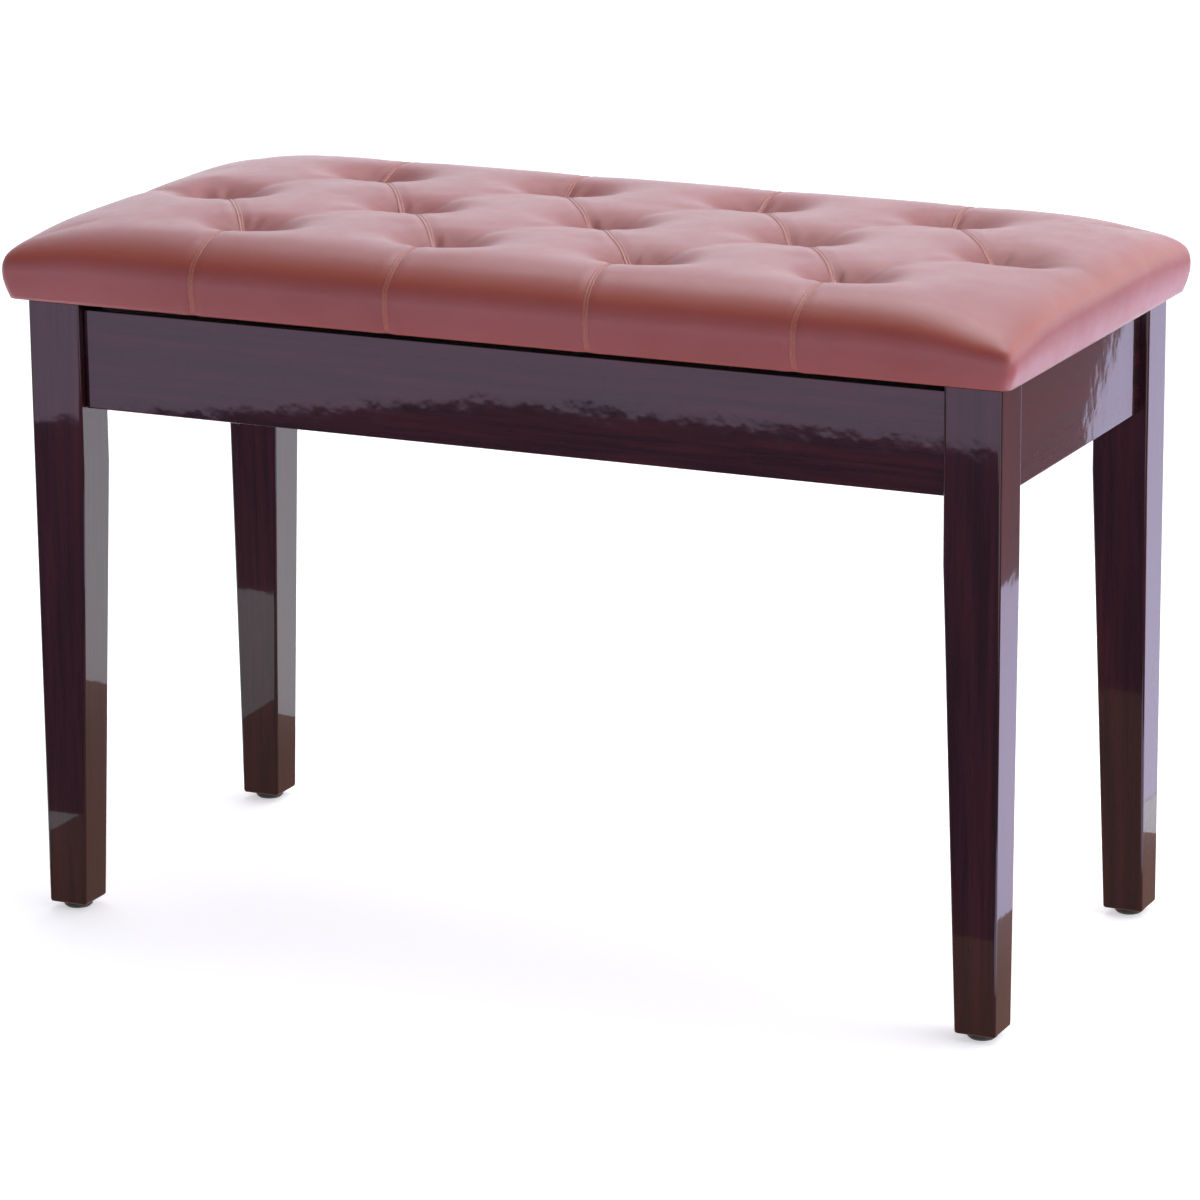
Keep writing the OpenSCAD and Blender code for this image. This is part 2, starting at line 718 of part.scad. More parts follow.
module seat_board() {
    color("#c7a578") difference() {
        translate([0, 0, board_z]) linear_extrude(board_t)
            rounded_rect(board_w - 2 * tiny, board_d - 2 * tiny, corner_r - cover_t);
        for (p = TUFTS) translate([p[0], p[1], board_z - 1]) cylinder(h = board_t + 2, r = tuft_floor_r);
        hinge_lid_screw_places() screw_hole(hinge_screw_l);
        both_ends() one_bracket_screws() screw_hole(bracket_screw_l);
    }
}

// Funnel of one tuft, grown by grow on its radius and its bottom.
module funnel(grow) {
    rise = seat_top_z - tuft_z + 2;
    translate([0, 0, tuft_z - grow])
        cylinder(h = rise, r1 = tuft_floor_r + grow, r2 = tuft_mouth_r + grow);
}

module seat_foam() {
    color("#e6d9a8") difference() {
        pillow(cover_t + foam_gap, foam_z);
        for (p = TUFTS) translate([p[0], p[1], 0]) {
            funnel(cover_t + foam_gap);
            translate([0, 0, foam_z - 1]) cylinder(h = 2 + tuft_z - foam_z, r = tuft_floor_r);
        }
    }
}

module seat_cover() {
    color("#7d3b38") difference() {
        union() {
            difference() {
                pillow(0, lid_z + dust_t);
                pillow(cover_t, board_z);
            }
            intersection() {
                pillow(0, lid_z + dust_t);
                for (p = TUFTS) translate([p[0], p[1], 0]) funnel(cover_t);
            }
        }
        for (p = TUFTS) translate([p[0], p[1], 0]) {
            funnel(0);
            translate([0, 0, tuft_z - 3]) cylinder(h = 5, r = twine_d / 2 + tiny);
        }
        translate([0, 0, lid_z - 1]) linear_extrude(dust_t + cover_t + 1.5)
            square([board_w - 2 * margin_w, board_d - 2 * margin_w], center = true);
        hinge_lid_screw_places() screw_hole(hinge_screw_l);
    }
}

// Twines: each runs from a knot in its funnel, through foam and board, to its anchor.
module tuft_twines() {
    top = tuft_z + 1.5;
    bottom = board_z - anchor_t;
    color("#d8cfb8") for (p = TUFTS) translate([p[0], p[1], bottom]) {
        cylinder(h = top - bottom, r = twine_d / 2);
        translate([0, 0, tuft_z - bottom]) cylinder(h = 1.6, r = twine_d);
    }
}

module tuft_anchors() {
    color("#d0d0c8") for (p = TUFTS) translate([p[0], p[1], board_z - anchor_t]) difference() {
        cylinder(h = anchor_t, r = anchor_d / 2);
        translate([0, 0, -1]) cylinder(h = anchor_t + 2, r = twine_d / 2 + tiny);
    }
}

module dust_cover() {
    color("#17171a") difference() {
        translate([0, 0, lid_z]) linear_extrude(dust_t)
            square([board_w - 2 * dust_margin, board_d - 2 * dust_margin], center = true);
        hinge_lid_screw_places() screw_hole(hinge_screw_l);
        both_ends() one_bracket_screws() screw_hole(bracket_screw_l);
    }
}

// ---------- assembly ----------

leg(-1, -1);  // leg_front_left
leg(1, -1);  // leg_front_right
leg(-1, 1);  // leg_rear_left
leg(1, 1);  // leg_rear_right
glide(-1, -1);  // glide_front_left
glide(1, -1);  // glide_front_right
glide(-1, 1);  // glide_rear_left
glide(1, 1);  // glide_rear_right
glide_nails();
front_apron();
rear_apron();
left_apron();
right_apron();
bottom_panel();
felt_pads();
corner_plate(-1, -1);  // corner_plate_front_left
corner_plate(1, -1);  // corner_plate_front_right
corner_plate(-1, 1);  // corner_plate_rear_left
corner_plate(1, 1);  // corner_plate_rear_right
hanger_bolts();
bolt_washers();
wing_nuts();
corner_screws();
color("#b08d4a") mirror([1, 0, 0]) hinge_frame_leaf();  // hinge_frame_leaf_left
color("#b08d4a") hinge_frame_leaf();  // hinge_frame_leaf_right
color("#b08d4a") mirror([1, 0, 0]) hinge_pin();  // hinge_pin_left
color("#b08d4a") hinge_pin();  // hinge_pin_right
hinge_frame_screws();
color("#8a5a3a") mirror([1, 0, 0]) stay_block();  // stay_block_left
color("#8a5a3a") stay_block();  // stay_block_right
color("#b9bcc0") mirror([1, 0, 0]) stay_stud();  // stay_stud_left
color("#b9bcc0") stay_stud();  // stay_stud_right
stay_block_screws();
seat_board();
seat_foam();
seat_cover();
tuft_twines();
tuft_anchors();
dust_cover();
color("#b08d4a") mirror([1, 0, 0]) hinge_lid_leaf();  // hinge_lid_leaf_left
color("#b08d4a") hinge_lid_leaf();  // hinge_lid_leaf_right
hinge_lid_screws();
color("#b9bcc0") mirror([1, 0, 0]) stay_bracket();  // stay_bracket_left
color("#b9bcc0") stay_bracket();  // stay_bracket_right
stay_bracket_screws();
color("#9a9da1") mirror([1, 0, 0]) stay_rivet();  // stay_rivet_left
color("#9a9da1") stay_rivet();  // stay_rivet_right
color("#b9bcc0") mirror([1, 0, 0]) stay_arm();  // stay_arm_left
color("#b9bcc0") stay_arm();  // stay_arm_right
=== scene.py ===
"""Padded duet piano bench: a tufted seat lid over a shallow music compartment, on tapered square legs.

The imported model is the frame. This script adds the lacquered joinery with eased edges, the upholstered seat
with its tufts, seams and stitches, the dust cover with its staples, and the finish of every part.
"""

import logging
import math
from dataclasses import dataclass, field
from enum import Enum

import bmesh
import bpy
import numpy as np
from mathutils import Matrix, Vector
from mathutils.bvhtree import BVHTree
from mathutils.kdtree import KDTree


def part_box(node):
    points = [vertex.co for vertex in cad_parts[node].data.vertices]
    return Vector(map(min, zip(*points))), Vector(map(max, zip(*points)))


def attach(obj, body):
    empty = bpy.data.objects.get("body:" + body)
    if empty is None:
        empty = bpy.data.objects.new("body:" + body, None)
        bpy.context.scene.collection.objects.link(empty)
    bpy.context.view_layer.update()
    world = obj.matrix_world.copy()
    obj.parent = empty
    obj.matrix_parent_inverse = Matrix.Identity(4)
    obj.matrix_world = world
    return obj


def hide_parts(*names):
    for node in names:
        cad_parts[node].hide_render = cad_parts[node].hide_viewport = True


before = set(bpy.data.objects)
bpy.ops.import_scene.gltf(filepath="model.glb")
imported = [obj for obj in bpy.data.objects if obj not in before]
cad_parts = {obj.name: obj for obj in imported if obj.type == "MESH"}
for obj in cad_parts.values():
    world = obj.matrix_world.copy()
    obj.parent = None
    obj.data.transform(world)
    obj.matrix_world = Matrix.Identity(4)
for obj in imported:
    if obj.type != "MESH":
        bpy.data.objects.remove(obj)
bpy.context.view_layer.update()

LOG = logging.getLogger("piano_bench")
MM = 0.001
Colour = tuple[float, float, float]


class Grain(Enum):
    """The way that a board's grain runs."""

    ALONG_BENCH = 0
    FRONT_TO_BACK = 1
    UPRIGHT = 2


class Side(Enum):
    """An end or a side of the bench, as a sign along its axis."""

    MINUS = -1
    PLUS = 1


# ---------------------------------------------------------------- finishes


class Nodes:
    """Adds nodes to a tree, in short calls."""

    def __init__(self, tree: bpy.types.NodeTree) -> None:
        """Starts on a tree."""
        self.tree = tree

    def feed(self, socket: bpy.types.NodeSocket, value: object) -> None:
        """Gives a socket a link if the value is a socket, or else a number or colour.

        Args:
            socket: The input socket.
            value: Another node's output, a number or a colour.
        """
        if isinstance(value, bpy.types.NodeSocket):
            self.tree.links.new(value, socket)
        elif isinstance(value, tuple) and socket.type == "RGBA":
            socket.default_value = (*value, 1.0)
        else:
            socket.default_value = value

    def add(self, kind: str, inputs: dict[str | int, object] | None = None,
            **settings: object) -> bpy.types.Node:
        """Adds a node.

        Args:
            kind: The node's type.
            inputs: What its sockets are fed, by their names or numbers.
            settings: Properties of the node to set.

        Returns:
            The node.
        """
        node = self.tree.nodes.new(kind)
        for name, value in settings.items():
            setattr(node, name, value)
        for key, value in (inputs or {}).items():
            self.feed(node.inputs[key], value)
        return node

    def math(self, operation: str, first: object, second: object = 0.0) -> bpy.types.NodeSocket:
        """One step of arithmetic on one or two values.

        Args:
            operation: The step.
            first: A number or a socket.
            second: Another one, where the step takes two.

        Returns:
            The result.
        """
        return self.add("ShaderNodeMath", {0: first, 1: second}, operation=operation).outputs[0]

    def remap(self, value: bpy.types.NodeSocket, low: float, high: float,
              to_low: float = 0.0, to_high: float = 1.0) -> bpy.types.NodeSocket:
        """Moves a value's span to another span, and clamps it.

        Args:
            value: The value.
            low: Start of its span.
            high: End of its span.
            to_low: Start of the new span.
            to_high: End of the new span.

        Returns:
            The moved value.
        """
        spans = {"Value": value, "From Min": low, "From Max": high, "To Min": to_low, "To Max": to_high}
        return self.add("ShaderNodeMapRange", spans).outputs["Result"]


class Paint(Nodes):
    """Builds one material's nodes around a Principled shader."""

    def __init__(self, name: str) -> None:
        """Starts a material.

        Args:
            name: The material's name.
        """
        self.material = bpy.data.materials.new(name)
        self.material.use_nodes = True
        super().__init__(self.material.node_tree)
        self.tree.nodes.clear()
        self.shader = self.add("ShaderNodeBsdfPrincipled")
        self.add("ShaderNodeOutputMaterial", {"Surface": self.shader.outputs["BSDF"]})
        self.place = self.add("ShaderNodeTexCoord").outputs["Object"]

    def stretched(self, scale: tuple[float, float, float]) -> bpy.types.NodeSocket:
        """Coordinates on the piece, multiplied by a scale on each axis."""
        return self.add("ShaderNodeMapping", {"Vector": self.place, "Scale": scale}).outputs["Vector"]

    def noise(self, scale: float, detail: float, rough: float = 0.5,
              vector: bpy.types.NodeSocket | None = None, warp: float = 0.0) -> bpy.types.NodeSocket:
        """Noise from 0 to 1.

        Args:
            scale: Bumps in a metre.
            detail: Octaves.
            rough: Share of the finer octaves.
            vector: Coordinates, or None for the plain ones.
            warp: Distortion.

        Returns:
            The noise's value.
        """
        inputs = {"Vector": vector or self.place, "Scale": scale, "Detail": detail,
                  "Roughness": rough, "Distortion": warp}
        return self.add("ShaderNodeTexNoise", inputs).outputs["Fac"]

    def cells(self, scale: float) -> bpy.types.NodeSocket:
        """Distance from the edges of a cell pattern."""
        inputs = {"Vector": self.place, "Scale": scale}
        return self.add("ShaderNodeTexVoronoi", inputs, feature="DISTANCE_TO_EDGE").outputs["Distance"]

    def waves(self, scale: float, direction: str) -> bpy.types.NodeSocket:
        """Even bands from 0 to 1 that follow one another in a direction."""
        inputs = {"Vector": self.place, "Scale": scale}
        return self.add("ShaderNodeTexWave", inputs, bands_direction=direction).outputs["Fac"]

    def mix(self, factor: object, first: object, second: object) -> bpy.types.NodeSocket:
        """Mixes two colours.

        Args:
            factor: Share of the second colour.
            first: A colour or a socket.
            second: A colour or a socket.

        Returns:
            The mixed colour.
        """
        return self.add("ShaderNodeMix", {0: factor, 6: first, 7: second}, data_type="RGBA").outputs[2]

    def attribute(self, name: str) -> bpy.types.NodeSocket:
        """A number kept in the mesh."""
        return self.add("ShaderNodeAttribute", attribute_name=name).outputs["Fac"]

    def relief(self, height: bpy.types.NodeSocket, depth: float, strength: float,
               under: bpy.types.NodeSocket | None = None) -> bpy.types.NodeSocket:
        """Bump from a height.

        Args:
            height: Height from 0 to 1.
            depth: Height of 1, in metres.
            strength: Share of the bump.
            under: A bump that lies below this one.

        Returns:
            The normal.
        """
        inputs = {"Strength": strength, "Distance": depth, "Height": height}
        if under is not None:
            inputs["Normal"] = under
        return self.add("ShaderNodeBump", inputs).outputs["Normal"]

    def finish(self, **sockets: object) -> bpy.types.Material:
        """Sets the shader's sockets, named with _ for a space, and gives the material."""
        for name, value in sockets.items():
            self.feed(self.shader.inputs[name.replace("_", " ").title().replace("Ior", "IOR")], value)
        return self.material


@dataclass(frozen=True)
class Lacquer:
    """Dark stained wood under a thick clear gloss lacquer."""

    grain: Grain
    dark: Colour = (0.0125, 0.0030, 0.0052)
    maroon: Colour = (0.062, 0.0085, 0.0125)
    streaks: float = 150.0
    stretch: float = 22.0

    def material(self) -> bpy.types.Material:
        """Makes the material with its grain along one axis."""
        paint = Paint(f"lacquer_{self.grain.name.lower()}")
        scale = [1.0, 1.0, 1.0]
        scale[self.grain.value] = 1.0 / self.stretch
        along = paint.stretched(tuple(scale))
        fine = paint.noise(self.streaks, 6.0, 0.62, along, 0.25)
        broad = paint.noise(self.streaks / 7.0, 3.0, 0.5, along, 0.6)
        pores = paint.remap(paint.noise(self.streaks * 9.0, 2.0, 0.5, along), 0.60, 0.74)
        clouds = paint.remap(broad, 0.30, 0.72, 0.25, 1.0)
        figure = paint.math("MULTIPLY", paint.remap(fine, 0.38, 0.72), clouds)
        wood = paint.mix(figure, self.dark, self.maroon)
        wood = paint.mix(paint.math("MULTIPLY", pores, 0.55), wood, (0.006, 0.002, 0.003))
        peel = paint.relief(paint.noise(70.0, 2.0, 0.4), 0.00012, 0.35)
        return paint.finish(base_color=wood, roughness=paint.remap(fine, 0.3, 0.7, 0.30, 0.42), ior=1.5,
                            specular_ior_level=0.08, coat_weight=1.0, coat_roughness=0.035,
                            coat_ior=1.52, coat_normal=peel)


@dataclass(frozen=True)
class FauxLeather:
    """Reddish brown coated fabric: fine pebble, satin, with a painted orange sheen where the leather faces
    partly upwards, as along the knee, and painted shade in the hollows round the tufts.
    """

    name: str = "faux_leather"
    body: Colour = (0.310, 0.054, 0.050)
    bloom: Colour = (0.350, 0.070, 0.072)
    # painted sheen: an orange that stands in for light along the knee, mixed in by how the leather tilts
    bend: Colour = (0.400, 0.066, 0.026)
    # painted shade: a darker red for the hollows round the tufts, where shade falls
    hollow: Colour = (0.215, 0.026, 0.022)
    pebble: float = 1500.0

    def material(self) -> bpy.types.Material:
        """Makes the material. It reads two numbers kept in the mesh: where to paint the orange sheen, and
        where to paint shade in the tufts' hollows.
        """
        paint = Paint(self.name)
        cloudy = paint.remap(paint.noise(9.0, 4.0, 0.55), 0.32, 0.68)
        base = paint.mix(cloudy, self.body, self.bloom)
        # painted sheen: orange mixed in by the mesh's tilt mark
        base = paint.mix(paint.math("MULTIPLY", paint.attribute("bend"), 0.85), base, self.bend)
        # painted shade: the tufts' hollows are darkened towards the darker red
        pit = paint.attribute("pit")
        base = paint.mix(paint.math("MULTIPLY", pit, 0.70), base, self.hollow)
        valleys = paint.remap(paint.cells(self.pebble), 0.0, 0.12)
        base = paint.mix(paint.remap(valleys, 0.0, 1.0, 0.16, 0.0), base, (0.12, 0.022, 0.016))
        rough = paint.remap(paint.noise(34.0, 3.0, 0.6), 0.3, 0.7, 0.36, 0.48)
        creases = paint.relief(paint.noise(190.0, 5.0, 0.62, warp=0.8), 0.00035, 0.30)
        normal = paint.relief(valleys, 0.00007, 0.55, creases)
        # the painted shade mark also thins the coat in the hollows, dimming their reflections
        return paint.finish(base_color=base, roughness=rough, normal=normal, ior=1.48,
                            coat_weight=paint.remap(pit, 0.0, 1.0, 0.85, 0.25), coat_roughness=0.27,
                            coat_normal=normal)


@dataclass(frozen=True)
class Thread:
    """Twisted sewing thread or twine."""

    name: str
    colour: Colour
    twist: float = 130.0

    def material(self) -> bpy.types.Material:
        """Makes the material with its slanting strands."""
        paint = Paint(self.name)
        strands = paint.waves(self.twist, "DIAGONAL")
        shade = paint.mix(paint.remap(strands, 0.2, 0.8, 0.0, 0.45), self.colour,
                          tuple(0.45 * c for c in self.colour))
        return paint.finish(base_color=shade, roughness=0.75, normal=paint.relief(strands, 0.0001, 0.6))


@dataclass(frozen=True)
class PlatedMetal:
    """Plated or solid metal, a little dulled and scratched."""

    name: str
    colour: Colour
    tarnish: Colour
    rough: float = 0.3

    def material(self) -> bpy.types.Material:
        """Makes the material with cloudy tarnish and fine scratches."""
        paint = Paint(self.name)
        cloud = paint.remap(paint.noise(60.0, 4.0, 0.6), 0.42, 0.75)
        shade = paint.mix(paint.math("MULTIPLY", cloud, 0.6), self.colour, self.tarnish)
        scratch = paint.noise(900.0, 2.0, 0.5, paint.stretched((1.0, 0.08, 1.0)))
        rough = paint.remap(cloud, 0.0, 1.0, self.rough, self.rough + 0.16)
        return paint.finish(base_color=shade, metallic=1.0, roughness=rough,
                            normal=paint.relief(scratch, 0.00003, 0.35))


@dataclass(frozen=True)
class BareWood:
    """Plain oiled or unfinished wood."""

    name: str
    light: Colour
    dark: Colour
    streaks: float = 90.0

    def material(self) -> bpy.types.Material:
        """Makes the material with straight grain along the bench."""
        paint = Paint(self.name)
        along = paint.stretched((0.05, 1.0, 1.0))
        rings = paint.noise(self.streaks, 5.0, 0.6, along, 0.5)
        shade = paint.mix(paint.remap(rings, 0.33, 0.68), self.light, self.dark)
        pores = paint.remap(paint.noise(self.streaks * 12.0, 2.0, 0.5, along), 0.58, 0.72)
        shade = paint.mix(paint.math("MULTIPLY", pores, 0.35), shade, tuple(0.5 * c for c in self.dark))
        return paint.finish(base_color=shade, roughness=0.62, normal=paint.relief(rings, 0.0003, 0.35))


@dataclass(frozen=True)
class Nap:
    """Soft or woven cloth without gloss: felt, foam or the dust cover."""

    name: str
    colour: Colour
    scale: float
    depth: float
    woven: bool = False

    def material(self) -> bpy.types.Material:
        """Makes the material, with crossing threads if it is woven."""
        paint = Paint(self.name)
        fibre = paint.noise(self.scale, 4.0, 0.7)
        if self.woven:
            for axis in ("X", "Y"):
                threads = paint.math("ADD", paint.waves(self.scale / 6.0, axis), 0.35)
                fibre = paint.math("MULTIPLY", fibre, threads)
        shade = paint.mix(paint.remap(fibre, 0.2, 0.8), tuple(0.55 * c for c in self.colour), self.colour)
        return paint.finish(base_color=shade, roughness=0.95, sheen_weight=0.25,
                            normal=paint.relief(fibre, self.depth, 0.7))


@dataclass(frozen=True)
class MouldedPlastic:
    """Moulded plastic with a faint mould texture and scuffs."""

    name: str
    colour: Colour
    rough: float

    def material(self) -> bpy.types.Material:
        """Makes the material."""
        paint = Paint(self.name)
        scuff = paint.remap(paint.noise(240.0, 5.0, 0.65), 0.55, 0.8)
        worn = tuple(min(1.0, c + 0.08) for c in self.colour)
        shade = paint.mix(paint.math("MULTIPLY", scuff, 0.35), self.colour, worn)
        rough = paint.remap(scuff, 0.0, 1.0, self.rough, self.rough + 0.2)
        return paint.finish(base_color=shade, roughness=rough,
                            normal=paint.relief(paint.noise(1400.0, 2.0), 0.00003, 0.4))


@dataclass(frozen=True)
class PaleFloor:
    """Matt white studio floor."""

    colour: Colour = (0.93, 0.93, 0.945)

    def material(self) -> bpy.types.Material:
        """Makes the material with a faint unevenness."""
        paint = Paint("pale_floor")
        cloud = paint.noise(1.5, 2.0)
        shade = paint.mix(paint.math("MULTIPLY", cloud, 0.04), self.colour, (0.80, 0.80, 0.82))
        return paint.finish(base_color=shade, roughness=1.0, specular_ior_level=0.0,
                            emission_color=self.colour, emission_strength=0.55)


class Palette:
    """Every finish of the bench, made once."""

    def __init__(self) -> None:
        """Makes the materials."""
        self.lacquer = {grain: Lacquer(grain).material() for grain in Grain}
        self.leather = FauxLeather().material()
        # painted highlight: the seams' lips are the seat's own leather, given a lighter, more orange copy
        # that stands in for the light on their raised edges
        self.lit_seam_leather = FauxLeather(
            "faux_leather_seams_lit", (0.40, 0.125, 0.095), (0.44, 0.15, 0.12)).material()
        self.seam_thread = Thread("seam_thread", (0.42, 0.15, 0.12)).material()
        self.twine = Thread("tufting_twine", (0.60, 0.54, 0.40)).material()
        self.zinc = PlatedMetal("zinc_steel", (0.62, 0.63, 0.65), (0.40, 0.41, 0.44)).material()
        self.brass = PlatedMetal("brass", (0.74, 0.55, 0.26), (0.42, 0.27, 0.12), 0.26).material()
        self.screws = PlatedMetal("yellow_zinc", (0.72, 0.60, 0.34), (0.50, 0.42, 0.30), 0.28).material()
        self.staples = PlatedMetal("staple_wire", (0.55, 0.56, 0.58), (0.35, 0.35, 0.36), 0.35).material()
        self.panel = BareWood("compartment_panel", (0.30, 0.165, 0.095), (0.150, 0.070, 0.040)).material()
        self.plywood = BareWood("plywood", (0.62, 0.46, 0.28), (0.45, 0.30, 0.16)).material()
        self.felt = Nap("felt", (0.060, 0.058, 0.060), 2200.0, 0.0006).material()
        self.cambric = Nap("black_cambric", (0.030, 0.030, 0.034), 5200.0, 0.00012, woven=True).material()
        self.glide = MouldedPlastic("glide_plastic", (0.012, 0.012, 0.013), 0.34).material()
        self.anchor = MouldedPlastic("anchor_plastic", (0.72, 0.71, 0.66), 0.45).material()


# ---------------------------------------------------------------- mesh helpers


def mesh_piece(name: str, points: np.ndarray | list, faces: list,
               material: bpy.types.Material) -> bpy.types.Object:
    """Makes a smooth-shaded mesh object at the origin.

    Args:
        name: The object's name.
        points: Vertices, in metres.
        faces: Lists of vertex numbers.
        material: Its finish.

    Returns:
        The object, linked to the scene.
    """
    mesh = bpy.data.meshes.new(name)
    mesh.from_pydata([tuple(p) for p in points], [], [tuple(f) for f in faces])
    mesh.materials.append(material)
    piece = bpy.data.objects.new(name, mesh)
    bpy.context.scene.collection.objects.link(piece)
    with_normals_out(mesh)
    mesh.polygons.foreach_set("use_smooth", [True] * len(mesh.polygons))
    return piece


def with_normals_out(mesh: bpy.types.Mesh) -> None:
    """Turns every face of a mesh outwards."""
    shape = bmesh.new()
    shape.from_mesh(mesh)
    bmesh.ops.recalc_face_normals(shape, faces=shape.faces[:])
    shape.to_mesh(mesh)
    shape.free()
    mesh.update()


def baked(piece: bpy.types.Object) -> bpy.types.Object:
    """Turns a piece's modifiers into plain mesh.

    Args:
        piece: The object with modifiers.

    Returns:
        The same object, with the result as its mesh and no modifiers.
    """
    graph = bpy.context.evaluated_depsgraph_get()
    result = bpy.data.meshes.new_from_object(piece.evaluated_get(graph), depsgraph=graph)
    piece.modifiers.clear()
    old = piece.data
    piece.data = result
    result.name = old.name
    bpy.data.meshes.remove(old)
    return piece


def vertex_rows(mesh: bpy.types.Mesh, what: str = "co") -> np.ndarray:
    """A mesh's vertices as rows of numbers.

    Args:
        mesh: The mesh.
        what: Which of a vertex's vectors to read, its place or its normal.

    Returns:
        One row of three numbers for each vertex.
    """
    flat = np.empty(len(mesh.vertices) * 3)
    mesh.vertices.foreach_get(what, flat)
    return flat.reshape(-1, 3)


def keep_numbers(mesh: bpy.types.Mesh, name: str, values: np.ndarray) -> None:
    """Keeps a number for each vertex in the mesh, for a material to read.

    Args:
        mesh: The mesh.
        name: The name that the material reads.
        values: The numbers, which are cut to the span from 0 to 1.
    """
    marks = mesh.attributes.new(name, "FLOAT", "POINT")
    marks.data.foreach_set("value", np.clip(values, 0.0, 1.0).astype(np.float32))


def grid_faces(index: np.ndarray) -> list[list[int]]:
    """Four-sided faces between neighbours in a grid of vertex numbers."""
    cells = np.stack([index[:-1, :-1], index[1:, :-1], index[1:, 1:], index[:-1, 1:]], axis=-1)
    return [list(face) for face in cells.reshape(-1, 4)]


def grid_rim(index: np.ndarray) -> np.ndarray:
    """The numbers round the outside of a grid of vertex numbers, in order."""
    return np.concatenate([index[:, 0], index[-1, 1:], index[-2::-1, -1], index[0, -2:0:-1]])


def eased(piece: bpy.types.Object, radius: float, segments: int = 3) -> None:
    """Rounds a joinery piece's sharp edges.

    Args:
        piece: The piece.
        radius: Radius of the rounding, in metres.
        segments: Facets across the rounding.
    """
    bevel = piece.modifiers.new("eased_edges", "BEVEL")
    bevel.width = radius
    bevel.segments = segments
    bevel.limit_method = "ANGLE"
    bevel.angle_limit = math.radians(30.0)
    bevel.harden_normals = True


def smooth_step(value: np.ndarray) -> np.ndarray:
    """Eases a value from 0 to 1."""
    t = np.clip(value, 0.0, 1.0)
    return t * t * (3.0 - 2.0 * t)


def tie(piece: bpy.types.Object, body: str, slot: str, *nodes: str) -> None:
    """Makes a piece ride on its body, in place of CAD nodes.

    Args:
        piece: The finished piece.
        body: The CAD body.
        slot: The record's material slot; not used.
        nodes: CAD nodes that it stands for.
    """
    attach(piece, body)
    if nodes:
        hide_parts(*nodes)
    LOG.info("%s on %s: %d faces", piece.name, body, len(piece.data.polygons))


# ---------------------------------------------------------------- repeats along a path


class Repeat(Enum):
    """What a row of repeats is made of."""

    STITCH = "stitch"
    STAPLE = "staple"


